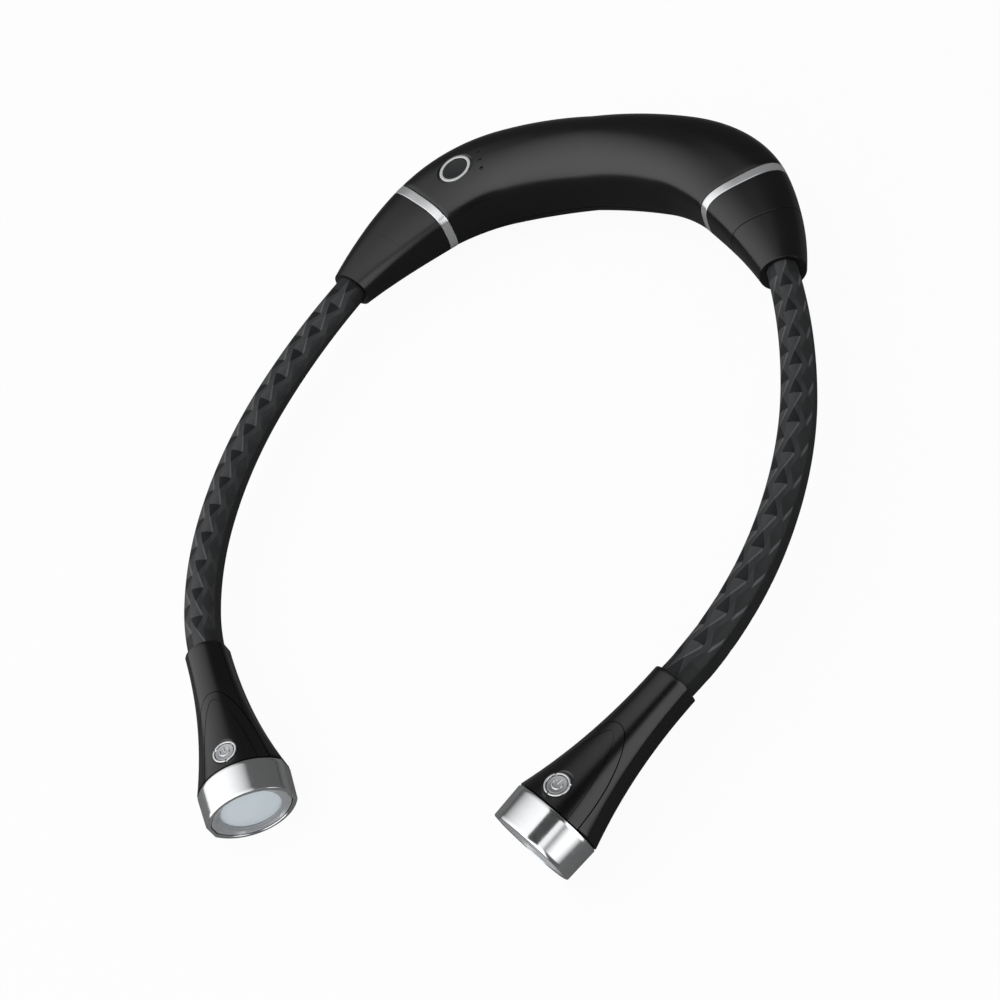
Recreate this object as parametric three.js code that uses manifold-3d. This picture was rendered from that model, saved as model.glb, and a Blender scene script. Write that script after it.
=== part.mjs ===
// Neck reading light: a curved battery housing that lies on the neck, two flexible arms in
// silicone sleeves, and a lamp head on the end of each arm. Millimetres. The light lies flat:
// X across, +Y towards the housing, -Y towards the lamp heads, +Z up. The origin is the middle
// of the flat strip under the housing, which is the face that the light rests on.
import * as THREE from "three";
import Module from "manifold-3d";
import { mergeVertices } from "three/addons/utils/BufferGeometryUtils.js";

const wasm = await Module();
wasm.setup();

// Gaps between pieces, and how far a cutting solid runs past what it cuts
const clearance = 0.3;
const fit = 0.2;
const overrun = 2;

// The centre line of the loop, from the middle of the housing to the neck of a lamp head:
// arcs that run into each other without a kink. The arms are bent by hand, and next to the
// lamp heads they curve a little differently.
const loop = {
  housingMiddle: { radius: 119.5, length: 30.1 },
  housingShoulder: { radius: 42.4, length: 29.1 },
  boot: { radius: 141.4, length: 37.3 },
  armNearHousing: { radius: 235, length: 48.2 },
  armMiddle: { radius: 161, length: 48.2 },
  armNearHead: { radius: 129, length: 32.4 },
  armAtHead: { left: 79, right: 100, length: 16.2 },
};
const housingEnd = loop.housingMiddle.length + loop.housingShoulder.length;
const bootEnd = housingEnd + loop.boot.length;
const armEnd = Object.values(loop).reduce((sum, stretch) => sum + stretch.length, 0);

// Outside of the housing and of what follows it to the arm: half sizes across and up at the
// middle, at the metal band and at the end of the boot, and how square the section is there
const middleHalfWidth = 14;
const middleHalfHeight = 14.9;
const middleSquareness = 2.2;
const bandHalfWidth = 14.35;
const bandHalfHeight = 9.2;
const bandSquareness = 3.2;
const shoulderSwell = 1.1;
const bootHalfWidth = 7;
const bootHalfHeight = 6.4;
const bootSquareness = 2.1;
const taperPower = 1.2;

// Housing: wall, underside cover, flat strip that it rests on, spigots for bands and collars
const skin = 1.6;
const seamDrop = 6.8;
const seamInset = 5.2;
const restDepth = 0.4;
const spigotWall = 1.2;
const spigotGrip = 2;
const bandWidth = 3.2;
const collarLength = 15.2;
const spigotLength = bandWidth + collarLength + 2.4;
const armPlane = middleHalfHeight - restDepth;

// What the housing holds
const cell = { radius: 9, length: 50, place: 4, cap: 0.8, capRadius: 3 };
const cradle = { thickness: 1.6, inset: 8 };
const screw = {
  boss: 2.4, shank: 1, head: 1.8, headHeight: 1.3, length: 10, recess: 0.6, gap: 2.8, farGap: 6.6,
};
const board = { gap: 2.4, endGap: 0.8, width: 17, thickness: 1.2, top: 2 };
const post = { radius: 1.8, inset: 4.5 };
const port = { width: 8.94, height: 3.26, depth: 8.7, wall: 0.35, place: -45, sink: 0.85 };
const tongue = { width: 6.7, thickness: 0.7, inset: 1.2 };
const guide = { place: -36.2, pin: 0.45, spacing: 3.7, across: -3.2, bar: 1.2, drop: 2.6, leg: 0.8 };
const lead = { radius: 0.6, rise: 2.7 };
const batteryLead = { radius: 0.7, across: 4.2, length: 12 };

// A push button in its ring, on a round seat cut into a wall with a boss under it
const powerPress = {
  cap: 4.3, capRise: 0.05, ring: 5.55, ringRise: 0.15, ringDepth: 1, spot: 6.3, spotDepth: 0.3,
  flange: 4.9, flangeHeight: 0.5, travel: 0.5, stem: 1.6, stemDrop: 2.3, boss: 6.9, floor: 1,
};
const headPress = {
  cap: 2.6, capRise: 0.1, ring: 3.4, ringRise: 0.2, ringDepth: 0.7, spot: 4.2, spotDepth: 0.3,
  flange: 3, flangeHeight: 0.4, travel: 0.4, stem: 1.2, stemDrop: 1.9, boss: 4.4, floor: 0.8,
};
const powerPlace = { along: -45.2, across: -0.8 };
const powerSwitch = { side: 6, plunger: 1.5, plungerHeight: 0.8 };

// Arm: a silicone sleeve with rows of raised pyramids over a gooseneck, which is five stiff
// links with a ball joint between each two
const sleeve = { radius: 5.25, flat: 4.6, relief: 0.4, bore: 3.6, plug: 7.5 };
const sectionRows = [2, 3, 4, 3, 2];
const cellsPerFace = 3;
const link = { ball: 1.15, cup: 1.8, stem: 0.6, rod: 0.8, ferrule: 3.3, ferruleFlat: 1.8, ferruleLength: 5 };
const cupMouth = 68;
const shoulderBore = 4;
const shoulderLength = 3;

// Lamp head: half sizes across and up and half height of the side flats, at the neck and at
// the metal collar's two ends, and the lengths along its axis
const neck = { halfWidth: 5.75, halfHeight: 6.4, flat: 2.87 };
const collarBack = { halfWidth: 12.4, halfHeight: 10.55, flat: 2.87 };
const face = { halfWidth: 12.05, halfHeight: 10.35, flat: 2.87 };
const casingLength = 44.2;
const headCollarLength = 9.6;
const flarePower = 2.2;
const headWall = 1.3;
const collarWall = 1;
const headSpigot = { length: 2.8, wall: 1, step: 2.2 };
const arch = { length: 26.2, halfWidth: 10.2, floor: 1, wall: 1.2 };
const archPower = 0.43;
const headPressSetback = 4.9;
const headSwitch = { side: 4, plunger: 0.9, plungerHeight: 0.8, height: 2.2 };
const headBoard = { length: 11.9, width: 11, thickness: 1, setback: 0.8 };
const rail = { thickness: 0.8, reach: 1.4 };
const lens = { radius: 8.55, thickness: 1.25, ledge: 8.25, recess: 1.3 };
const ledgeThickness = 0.3;
const ledBoard = { thickness: 1.2, setback: 5.5, emitter: 5.2, emitterHeight: 0.5 };
const headLength = casingLength + clearance + headCollarLength;

// Facets
const bodySides = 20;
const headSides = 16;
const roundSides = 16;
const smallSides = 8;
const boreSides = 12;
const pressSides = 12;
const bodyStep = 8;
const leadStep = 6;
const casingRings = 7;

const colours = {
  body: { color: 0x17181a, roughness: 0.42, metalness: 0 },
  silicone: { color: 0x1a1b1c, roughness: 0.75, metalness: 0 },
  steel: { color: 0xc9cbcd, roughness: 0.3, metalness: 1 },
  bezel: { color: 0x9a9c9e, roughness: 0.45, metalness: 1 },
  diffuser: { color: 0xdfe8ee, roughness: 0.5, metalness: 0 },
  circuit: { color: 0x1f5a3a, roughness: 0.6, metalness: 0 },
  component: { color: 0x2a2a2c, roughness: 0.5, metalness: 0 },
  wrap: { color: 0x2f6ea8, roughness: 0.4, metalness: 0 },
  wire: { color: 0x7a1f1f, roughness: 0.5, metalness: 0 },
};

const arms = [
  { name: "left", sign: -1 },
  { name: "right", sign: 1 },
];

// Solids

// Merges the shared vertices of a closed geometry and turns its faces outwards.
function closed(geometry) {
  const plain = new THREE.BufferGeometry();
  const position = geometry.getAttribute("position");
  const inOrder = Array.from({ length: position.count }, (_, i) => i);
  plain.setAttribute("position", position.clone());
  plain.setIndex(geometry.index ? Array.from(geometry.index.array) : inOrder);
  const merged = mergeVertices(plain);
  const index = Array.from(merged.index.array);
  const [a, b, c] = [new THREE.Vector3(), new THREE.Vector3(), new THREE.Vector3()];
  const kept = [];
  let volume = 0;
  for (let i = 0; i < index.length; i += 3) {
    const corners = index.slice(i, i + 3);
    if (new Set(corners).size < 3) continue;
    a.fromBufferAttribute(merged.getAttribute("position"), corners[0]);
    b.fromBufferAttribute(merged.getAttribute("position"), corners[1]);
    c.fromBufferAttribute(merged.getAttribute("position"), corners[2]);
    volume += a.dot(b.cross(c));
    kept.push(corners);
  }
  merged.setIndex(kept.flatMap(([p, q, r]) => (volume < 0 ? [p, r, q] : [p, q, r])));
  return merged;
}

// A geometry as a solid that can be joined to others and cut.
function solid(geometry) {
  const merged = closed(geometry);
  return new wasm.Manifold(new wasm.Mesh({
    numProp: 3,
    vertProperties: Float32Array.from(merged.getAttribute("position").array),
    triVerts: Uint32Array.from(merged.index.array),
  }));
}

// A solid as a geometry again.
function geometryOf(manifold) {
  const mesh = manifold.getMesh();
  const geometry = new THREE.BufferGeometry();
  geometry.setAttribute("position", new THREE.BufferAttribute(Float32Array.from(mesh.vertProperties), 3));
  geometry.setIndex(Array.from(mesh.triVerts));
  return geometry;
}

function add(...solids) {
  return solids.reduce((sum, next) => sum.add(next));
}

function cut(first, ...solids) {
  return solids.reduce((rest, next) => rest.subtract(next), first);
}

// A named mesh of a solid or geometry in one of the colours.
function piece(name, shape, colour) {
  const geometry = shape.isBufferGeometry ? closed(shape) : geometryOf(shape);
  geometry.computeVertexNormals();
  const mesh = new THREE.Mesh(geometry, new THREE.MeshStandardMaterial(colours[colour]));
  mesh.name = name;
  return mesh;
}

// A solid of revolution about +Z from a profile of [radius, height] pairs.
function turned(profile, facets = roundSides) {
  const points = profile.map(([radius, height]) => new THREE.Vector2(radius, height));
  return solid(new THREE.LatheGeometry(points, facets).rotateX(Math.PI / 2));
}

// An upright round bar between two heights.
function bar(radius, low, high, facets = smallSides) {
  const geometry = new THREE.CylinderGeometry(radius, radius, high - low, facets).rotateX(Math.PI / 2);
  return solid(geometry.translate(0, 0, (low + high) / 2));
}

// A box from its lowest to its highest corner.
function block(low, high) {
  const size = high.map((value, i) => value - low[i]);
  const middle = high.map((value, i) => (value + low[i]) / 2);
  return solid(new THREE.BoxGeometry(...size).translate(...middle));
}

// A copy of a solid, turned and moved by a matrix.
function placed(shape, matrix) {
  return solid(geometryOf(shape).applyMatrix4(matrix));
}

// Outlines of sections, as points (across, up) against the clock

// A superellipse: round where squareness is 2 and squarer as it grows.
function roundOutline(halfWidth, halfHeight, squareness, count = bodySides) {
  return Array.from({ length: count }, (_, i) => {
    const [x, y] = [Math.cos((2 * Math.PI * i) / count), Math.sin((2 * Math.PI * i) / count)];
    const power = 2 / squareness;
    return new THREE.Vector2(
      halfWidth * Math.sign(x) * Math.abs(x) ** power,
      halfHeight * Math.sign(y) * Math.abs(y) ** power,
    );
  });
}

// An arc over and an arc under, joined by an upright flat at each side.
function flattedOutline({ halfWidth, halfHeight, flat }, inset = 0, count = headSides) {
  const width = halfWidth - inset;
  const rise = halfHeight - flat;
  const high = halfHeight - inset;
  const side = high - rise;
  const radius = (width ** 2 + rise ** 2) / (2 * rise);
  const reach = Math.atan2(width, radius - rise);
  const steps = count / 2 - 1;
  const upper = Array.from({ length: steps + 1 }, (_, i) => {
    const angle = reach * (1 - (2 * i) / steps);
    return new THREE.Vector2(radius * Math.sin(angle), side - radius + rise + radius * Math.cos(angle));
  });
  return [...upper, ...upper.map((point) => point.clone().negate())];
}

// The points of an outline drawn in or out to a circle.
function circleLike(outline, radius) {
  return outline.map((point) => point.clone().setLength(radius));
}

function circleOutline(radius, count = smallSides) {
  return roundOutline(radius, radius, 2, count);
}

// A closed skin through one outline in each frame. It starts as a cylinder with as many sides
// and rings, whose vertices are moved onto the outlines. In each patch the diagonal joins the
// raised corners, so that a raised corner becomes the tip of a pyramid.
function loft(frames, outlines, raised = null) {
  const count = outlines[0].length;
  const rings = frames.length - 1;
  const geometry = new THREE.CylinderGeometry(1, 1, 1, count, rings);
  const position = geometry.getAttribute("position");
  const tips = [];
  const spot = new THREE.Vector3();
  for (let i = 0; i < position.count; i += 1) {
    spot.fromBufferAttribute(position, i);
    const ring = Math.round((spot.y + 0.5) * rings);
    const corner = Math.round((Math.atan2(spot.x, spot.z) / (2 * Math.PI)) * count + count) % count;
    const share = Math.hypot(spot.x, spot.z);
    const outline = outlines[ring];
    const middle = outline.reduce((sum, point) => sum.add(point), new THREE.Vector2()).divideScalar(count);
    const point = middle.lerp(outline[corner], share);
    const frame = frames[ring];
    spot.copy(frame.origin).addScaledVector(frame.out, point.x).addScaledVector(frame.up, point.y);
    position.setXYZ(i, spot.x, spot.y, spot.z);
    tips.push(share > 0.5 && raised !== null && raised(ring, corner) ? 1 : 0);
  }
  if (raised !== null) joinTips(geometry, tips, count * rings);
  return solid(geometry);
}

// Swaps the diagonal of each patch whose tips it doesn't touch.
function joinTips(geometry, tips, patches) {
  const index = geometry.index;
  for (let patch = 0; patch < patches; patch += 1) {
    const start = patch * 6;
    const [a, b, d, , c] = [0, 1, 2, 3, 4].map((k) => index.getX(start + k));
    if (tips[a] + tips[c] > tips[b] + tips[d]) {
      [a, b, c, a, c, d].forEach((vertex, k) => index.setX(start + k, vertex));
    }
  }
}

// Frames: an origin, the direction along, and the directions out and up of the section

// Frames along +X, for a part that is modelled on its own axis.
function axisFrames(places) {
  return places.map((place) => ({
    origin: new THREE.Vector3(place, 0, 0),
    along: new THREE.Vector3(1, 0, 0),
    out: new THREE.Vector3(0, 1, 0),
    up: new THREE.Vector3(0, 0, 1),
  }));
}

// The place and heading on the loop at a signed distance from its middle, as they would be on
// its right half, and how much of the distance is past the end of the arm.
function pointOnLoop(place) {
  const side = place < 0 ? "left" : "right";
  let [x, y, heading, rest] = [0, 0, 0, Math.abs(place)];
  for (const arc of Object.values(loop)) {
    const radius = arc.radius ?? arc[side];
    const step = Math.min(rest, arc.length);
    const next = heading - step / radius;
    x += radius * (Math.sin(heading) - Math.sin(next));
    y += radius * (Math.cos(next) - Math.cos(heading));
    heading = next;
    rest -= step;
  }
  return { x, y, heading, rest };
}

// A head tips down until the lower edge of its face is as low as the strip under the housing.
const headTilt = Math.asin(armPlane / Math.hypot(headLength, face.halfHeight))
  - Math.atan2(face.halfHeight, headLength);

// The frame at a signed distance along the loop: right of the middle is positive. Past the
// end of the arm it follows the axis of the lamp head.
function frameAt(place) {
  const { x, y, heading, rest } = pointOnLoop(place);
  const tilt = rest > 0 ? headTilt : 0;
  const [c, s] = [Math.cos(heading), Math.sin(heading)];
  const along = new THREE.Vector3(c * Math.cos(tilt), s * Math.cos(tilt), -Math.sin(tilt));
  const frame = {
    origin: new THREE.Vector3(x, y, 0).addScaledVector(along, rest),
    along,
    out: new THREE.Vector3(-s, c, 0),
    up: new THREE.Vector3(c * Math.sin(tilt), s * Math.sin(tilt), Math.cos(tilt)),
  };
  if (place < 0) {
    [frame.origin, frame.along, frame.out, frame.up].forEach((vector) => vector.setX(-vector.x));
    frame.along.negate();
  }
  return frame;
}

// A point by its distance along the loop and its offsets out and up.
function spotAt(place, across, height) {
  const frame = frameAt(place);
  return frame.origin.addScaledVector(frame.out, across).addScaledVector(frame.up, height);
}

// Evenly spread numbers from one to another, with steps no longer than asked for.
function spread(from, to, step) {
  const count = Math.max(1, Math.ceil(Math.abs(to - from) / step - 0.001));
  return Array.from({ length: count + 1 }, (_, i) => from + ((to - from) * i) / count);
}

// Places on one side of the loop between two distances, in rising order.
function stretch(sign, from, to, step) {
  return spread(from, to, step).map((place) => sign * place).sort((p, q) => p - q);
}

// A skin along the loop through the outline that a function gives for each place.
function loopLoft(places, outlineAt) {
  return loft(places.map(frameAt), places.map(outlineAt));
}

// Housing, bands, collars and boots

// Half sizes and squareness of the housing and of the boots at a place on the loop.
function bodySection(place) {
  const distance = Math.abs(place);
  const mix = THREE.MathUtils.lerp;
  if (distance <= housingEnd) {
    const share = distance / housingEnd;
    return {
      halfWidth: mix(middleHalfWidth, bandHalfWidth, share) + shoulderSwell * Math.sin(Math.PI * share ** 2),
      halfHeight: mix(bandHalfHeight, middleHalfHeight, Math.cos((Math.PI / 2) * share)),
      squareness: mix(middleSquareness, bandSquareness, share),
    };
  }
  const share = Math.min(1, (distance - housingEnd) / (bootEnd - housingEnd)) ** taperPower;
  return {
    halfWidth: mix(bandHalfWidth, bootHalfWidth, share),
    halfHeight: mix(bandHalfHeight, bootHalfHeight, share),
    squareness: mix(bandSquareness, bootSquareness, share),
  };
}

function bodyOutline(place, inset = 0) {
  const { halfWidth, halfHeight, squareness } = bodySection(place);
  return roundOutline(halfWidth - inset, halfHeight - inset, squareness);
}

const wide = bandHalfWidth + shoulderSwell + overrun;
const deep = middleHalfHeight + overrun;

// All between two places and two heights, as wide as the housing.
function slab(from, to, low, high) {
  const corners = [[wide, low], [wide, high], [-wide, high], [-wide, low]];
  const outline = corners.map(([across, height]) => new THREE.Vector2(across, height));
  return loopLoft(spread(from, to, bodyStep), () => outline);
}

const seamEnd = housingEnd - seamInset;
const cellFrom = cell.place - cell.length / 2;
const cellTo = cell.place + cell.length / 2;
const screwPlaces = { left: cellFrom - screw.gap - screw.boss, right: cellTo + screw.farGap + screw.boss };
const boardFrom = -seamEnd + board.endGap;
const boardTo = screwPlaces.left - screw.boss - board.gap;
const spigotEnd = housingEnd + spigotLength;

// The housing's outside, with the spigots that carry the bands and collars.
function housingOutside() {
  const body = loopLoft(spread(-housingEnd, housingEnd, bodyStep), (place) => bodyOutline(place));
  const spigots = arms.map(({ sign }) => loopLoft(
    stretch(sign, housingEnd - spigotGrip, spigotEnd, bodyStep),
    (place) => bodyOutline(place, skin + clearance),
  ));
  return add(body, ...spigots);
}

// The housing's hollow, which narrows past the seam to the bore of the spigots.
function housingHollow() {
  const bore = skin + clearance + spigotWall;
  const far = spread(seamEnd + spigotGrip, spigotEnd + overrun, bodyStep);
  const places = [
    ...far.map((place) => -place).reverse(),
    ...spread(-seamEnd, seamEnd, bodyStep),
    ...far,
  ];
  return loopLoft(places, (place) => bodyOutline(place, Math.abs(place) > seamEnd ? bore : skin));
}

const outside = housingOutside();
const hollow = housingHollow();
const inBody = loopLoft(spread(-seamEnd, seamEnd, bodyStep), (place) => bodyOutline(place, skin / 2));

// The upright matrix at a place: X along the loop, Y across it, Z up.
function uprightAt(place, across = 0, height = 0) {
  const frame = frameAt(place);
  const matrix = new THREE.Matrix4().makeBasis(frame.along, frame.out, frame.up);
  return matrix.setPosition(spotAt(place, across, height));
}

// The top of the housing's wall at a place and an offset across it.
function topOfBody(place, across) {
  const { halfWidth, halfHeight, squareness } = bodySection(place);
  return halfHeight * (1 - Math.abs(across / halfWidth) ** squareness) ** (1 / squareness);
}

// The outside of the housing's wall at a place and a height.
function sideOfBody(place, height) {
  const { halfWidth, halfHeight, squareness } = bodySection(place);
  return halfWidth * (1 - Math.abs(height / halfHeight) ** squareness) ** (1 / squareness);
}

// The matrix whose Z axis stands square on the housing's top at a place.
function squareOnTop({ along, across }) {
  const [point, further, outer] = [[0, 0], [fit, 0], [0, fit]].map(([ahead, beside]) => (
    spotAt(along + ahead, across + beside, topOfBody(along + ahead, across + beside))
  ));
  const x = further.sub(point).normalize();
  const z = x.clone().cross(outer.sub(point)).normalize();
  return new THREE.Matrix4().makeBasis(x, z.clone().cross(x), z).setPosition(point);
}

// Heights in a push button, measured from the wall's face down to each step
function pressDepths(press) {
  const ringSeat = press.ringDepth + clearance;
  const flangeTop = ringSeat;
  const flangeFoot = flangeTop + press.flangeHeight;
  const seatFloor = flangeFoot + press.travel + clearance;
  return { ringSeat, flangeTop, flangeFoot, seatFloor, foot: flangeFoot + press.stemDrop };
}

// The stepped hole that a push button and its ring sit in.
function pressHole(press) {
  const { ringSeat, seatFloor } = pressDepths(press);
  const below = seatFloor + press.floor + overrun;
  return turned([
    [0, overrun], [press.spot, overrun], [press.spot, -press.spotDepth],
    [press.ring + fit, -press.spotDepth], [press.ring + fit, -ringSeat],
    [press.flange + fit, -ringSeat], [press.flange + fit, -seatFloor],
    [press.stem + clearance, -seatFloor], [press.stem + clearance, -below], [0, -below],
  ], pressSides);
}

function pressBoss(press) {
  const { seatFloor } = pressDepths(press);
  return bar(press.boss, -seatFloor - press.floor, -press.spotDepth - fit, pressSides);
}

function pressRing(press) {
  return turned([
    [press.cap + fit, -press.ringDepth], [press.ring, -press.ringDepth], [press.ring, press.ringRise],
    [press.cap + fit, press.ringRise], [press.cap + fit, -press.ringDepth],
  ], pressSides);
}

function pressCap(press) {
  const { flangeTop, flangeFoot, foot } = pressDepths(press);
  return turned([
    [0, press.capRise], [press.cap, press.capRise], [press.cap, -flangeTop],
    [press.flange, -flangeTop], [press.flange, -flangeFoot], [press.stem, -flangeFoot],
    [press.stem, -foot], [0, -foot],
  ], pressSides);
}

const powerMatrix = squareOnTop(powerPlace);

// Rounded slot through which the charging plug goes, along +Y.
function slotShape(halfWidth, halfHeight) {
  const shape = new THREE.Shape();
  const run = halfWidth - halfHeight;
  shape.moveTo(-run, -halfHeight);
  shape.lineTo(run, -halfHeight);
  shape.absarc(run, 0, halfHeight, -Math.PI / 2, Math.PI / 2, false);
  shape.lineTo(-run, halfHeight);
  shape.absarc(-run, 0, halfHeight, Math.PI / 2, (3 * Math.PI) / 2, false);
  return shape;
}

function slotBar(halfWidth, halfHeight, from, to) {
  const options = { depth: to - from, bevelEnabled: false, curveSegments: 5 };
  const geometry = new THREE.ExtrudeGeometry(slotShape(halfWidth, halfHeight), options);
  return solid(geometry.rotateX(-Math.PI / 2).translate(0, from, 0));
}

const portHeight = board.top + clearance + port.height / 2;
const portMatrix = uprightAt(port.place, 0, portHeight);
const portMouth = sideOfBody(port.place, portHeight) - port.sink;
const guidePlaces = [-1, 0, 1].map((step) => guide.across + step * guide.spacing);

// Where a screw's head seats under the base, below the plane of the arms.
function screwSeat(place) {
  return -bodySection(place).halfHeight + screw.recess + screw.headHeight;
}

// The housing's upper shell, open underneath between the seams.
function housingShell() {
  const underneath = slab(-seamEnd, seamEnd, -deep, -seamDrop);
  const bosses = Object.values(screwPlaces).map((place) => (
    placed(bar(screw.boss, -seamDrop, deep), uprightAt(place)).intersect(inBody)
  ));
  const shafts = Object.values(screwPlaces).map((place) => {
    const tip = screwSeat(place) + screw.length + clearance;
    return placed(bar(screw.shank + fit, -deep, tip), uprightAt(place));
  });
  const press = placed(pressBoss(powerPress), powerMatrix).intersect(inBody);
  const mouth = placed(
    slotBar(port.width / 2 + fit, port.height / 2 + fit, portMouth - skin - overrun, portMouth + overrun),
    portMatrix,
  );
  const pins = guidePlaces.map((across) => (
    placed(bar(guide.pin + fit, 0, deep), uprightAt(guide.place, across))
  ));
  const wall = cut(outside, hollow, underneath);
  const seat = placed(pressHole(powerPress), powerMatrix);
  return cut(add(wall, press, ...bosses), ...shafts, seat, mouth, ...pins);
}

// The cell lies along the chord of its stretch of the loop, halfway between chord and arc.
function cellMatrix() {
  const [from, to] = [cellFrom, cellTo].map((place) => spotAt(place, 0, 0));
  const along = to.clone().sub(from).normalize();
  const middle = from.add(to).multiplyScalar(0.5).add(spotAt(cell.place, 0, 0)).multiplyScalar(0.5);
  const up = new THREE.Vector3(0, 0, 1);
  return new THREE.Matrix4().makeBasis(along, up.clone().cross(along), up).setPosition(middle);
}

// A round bar along +X.
function lyingBar(radius, from, to, facets = roundSides) {
  const geometry = new THREE.CylinderGeometry(radius, radius, to - from, facets).rotateZ(Math.PI / 2);
  return solid(geometry.translate((from + to) / 2, 0, 0));
}

function boardEnds() {
  return [boardFrom, boardTo].map((place) => spotAt(place, 0, 0));
}

// The matrix of the main board: its middle, with X along its chord.
function boardMatrix() {
  const [from, to] = boardEnds();
  const along = to.clone().sub(from).normalize();
  const middle = from.add(to).multiplyScalar(0.5);
  const up = new THREE.Vector3(0, 0, 1);
  return new THREE.Matrix4().makeBasis(along, up.clone().cross(along), up).setPosition(middle);
}

function boardLength() {
  const [from, to] = boardEnds();
  return from.distanceTo(to);
}

// The cover under the housing: cradle ribs for the cell, posts for the board, screw holes.
function housingBase() {
  const top = -seamDrop - clearance;
  const reach = seamEnd - clearance;
  const wall = cut(outside, hollow).intersect(slab(-reach, reach, -deep, top));
  const ribs = [cellFrom + cradle.inset, cellTo - cradle.inset].map((place) => {
    const half = cradle.thickness / 2;
    return slab(place - half, place + half, -deep, top).intersect(inBody);
  });
  const half = boardLength() / 2 - post.inset;
  const postTop = board.top - board.thickness - clearance;
  const posts = [-half, half].map((place) => {
    const matrix = boardMatrix().multiply(new THREE.Matrix4().makeTranslation(place, 0, 0));
    return placed(bar(post.radius, -deep, postTop), matrix).intersect(inBody);
  });
  const bosses = Object.values(screwPlaces).map((place) => (
    placed(bar(screw.boss, -deep, top), uprightAt(place)).intersect(inBody)
  ));
  const holes = Object.values(screwPlaces).flatMap((place) => [
    placed(bar(screw.head + clearance, -deep, screwSeat(place)), uprightAt(place)),
    placed(bar(screw.shank + clearance, -deep, top + overrun), uprightAt(place)),
  ]);
  const room = placed(lyingBar(cell.radius + clearance, -cell.length, cell.length), cellMatrix());
  const below = slab(-seamEnd, seamEnd, -deep - overrun, -armPlane);
  return cut(add(wall, ...ribs, ...posts, ...bosses), room, ...holes, below);
}

// A countersunk screw with a cross cut into its head, standing on its head.
function baseScrew() {
  const cross = [[screw.head / 2, screw.shank / 4], [screw.shank / 4, screw.head / 2]].map(([x, y]) => (
    block([-x, -y, -screw.headHeight - overrun], [x, y, -screw.headHeight / 2])
  ));
  const body = turned([
    [0, screw.length], [screw.shank / 2, screw.length], [screw.shank, screw.length - screw.shank],
    [screw.shank, 0], [screw.head, -screw.headHeight / 2], [screw.head, -screw.headHeight],
    [0, -screw.headHeight],
  ], smallSides);
  return cut(body, ...cross);
}

// A ring around the spigot between two distances, from the outside down to a wall's depth.
function bodyRing(sign, from, to, wall) {
  const outer = loopLoft(stretch(sign, from, to, bodyStep), (place) => bodyOutline(place));
  const inner = loopLoft(
    stretch(sign, from - clearance, to + clearance, bodyStep),
    (place) => bodyOutline(place, wall),
  );
  return cut(outer, inner);
}

const bandFrom = housingEnd + fit;
const bandTo = bandFrom + bandWidth;
const collarFrom = bandTo + fit;
const collarTo = collarFrom + collarLength;
const bootFrom = collarTo + fit;
const sleeveRoot = bootEnd - sleeve.plug;
const shoulderRoot = sleeveRoot - clearance - shoulderLength;

// The boot: a hollow cone over the spigot's end, a shoulder, and a bore that grips the sleeve.
function armBoot(sign) {
  const outer = loopLoft(stretch(sign, bootFrom, bootEnd, bodyStep), (place) => bodyOutline(place));
  const cavity = loopLoft(
    stretch(sign, bootFrom - overrun, shoulderRoot, bodyStep),
    (place) => bodyOutline(place, skin),
  );
  const passage = loopLoft(
    stretch(sign, shoulderRoot - overrun, sleeveRoot, bodyStep),
    () => circleOutline(shoulderBore, roundSides),
  );
  const grip = loopLoft(
    stretch(sign, sleeveRoot - clearance, bootEnd + overrun, bodyStep),
    () => sleeveOutline(fit),
  );
  return cut(outer, cavity, passage, grip);
}

// Arms

const sleeveFlat = Math.sqrt(sleeve.radius ** 2 - sleeve.flat ** 2);
const sleeveSize = { halfWidth: sleeve.flat, halfHeight: sleeve.radius, flat: sleeveFlat };
const sleeveCorners = 2 * (2 * cellsPerFace + 1);
const rowCount = sectionRows.reduce((sum, rows) => sum + rows, 0);
const rowPitch = (armEnd - bootEnd) / rowCount;

function sleeveOutline(growth = 0, count = sleeveCorners) {
  return flattedOutline(sleeveSize, -growth, count);
}

// Distances at which the arm bends: after each section of sleeve but the last.
const bends = sectionRows.slice(0, -1).map((_, i) => (
  bootEnd + rowPitch * sectionRows.slice(0, i + 1).reduce((sum, rows) => sum + rows, 0)
));

// One section of sleeve. Each cell of its top and underside is a pyramid, every second column
// of them stands half a row on, and the sides are smooth. The first and last sections end in a
// plain plug inside the boot and the neck.
function sleeveSection(sign, number) {
  const last = sectionRows.length - 1;
  const from = number === 0 ? bootEnd : bends[number - 1];
  const to = number === last ? armEnd : bends[number];
  const halves = spread(from, to, rowPitch / 2);
  halves[0] += number === 0 ? fit : clearance / 2;
  halves[halves.length - 1] -= number === last ? fit : clearance / 2;
  const stations = halves.map((distance, i) => ({
    distance, crest: i % 2 === 1, plain: distance < bootEnd + clearance || distance > armEnd - clearance,
  }));
  if (number === 0) stations.unshift({ distance: sleeveRoot, plain: true });
  if (number === last) stations.push({ distance: armEnd + sleeve.plug, plain: true });
  if (sign < 0) stations.reverse();
  const corners = cellsPerFace * 2 + 1;
  const isTip = (ring, corner) => {
    const { crest, plain } = stations[ring];
    const place = corner % corners;
    return !plain && place % 2 === 1 && crest === (place % 4 === 3);
  };
  const outlines = stations.map((_, ring) => sleeveOutline().map((point, corner) => (
    isTip(ring, corner) ? point.setLength(point.length() + sleeve.relief) : point
  )));
  const skinSolid = loft(stations.map(({ distance }) => frameAt(sign * distance)), outlines, isTip);
  const [near, far] = [stations[0].distance, stations[stations.length - 1].distance].sort((p, q) => p - q);
  const distances = [near - clearance, ...spread(near, far, 1.5 * rowPitch), far + clearance];
  const bore = loopLoft(
    distances.map((distance) => sign * distance).sort((p, q) => p - q),
    () => circleOutline(sleeve.bore, boreSides),
  );
  return cut(skinSolid, bore);
}

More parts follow.
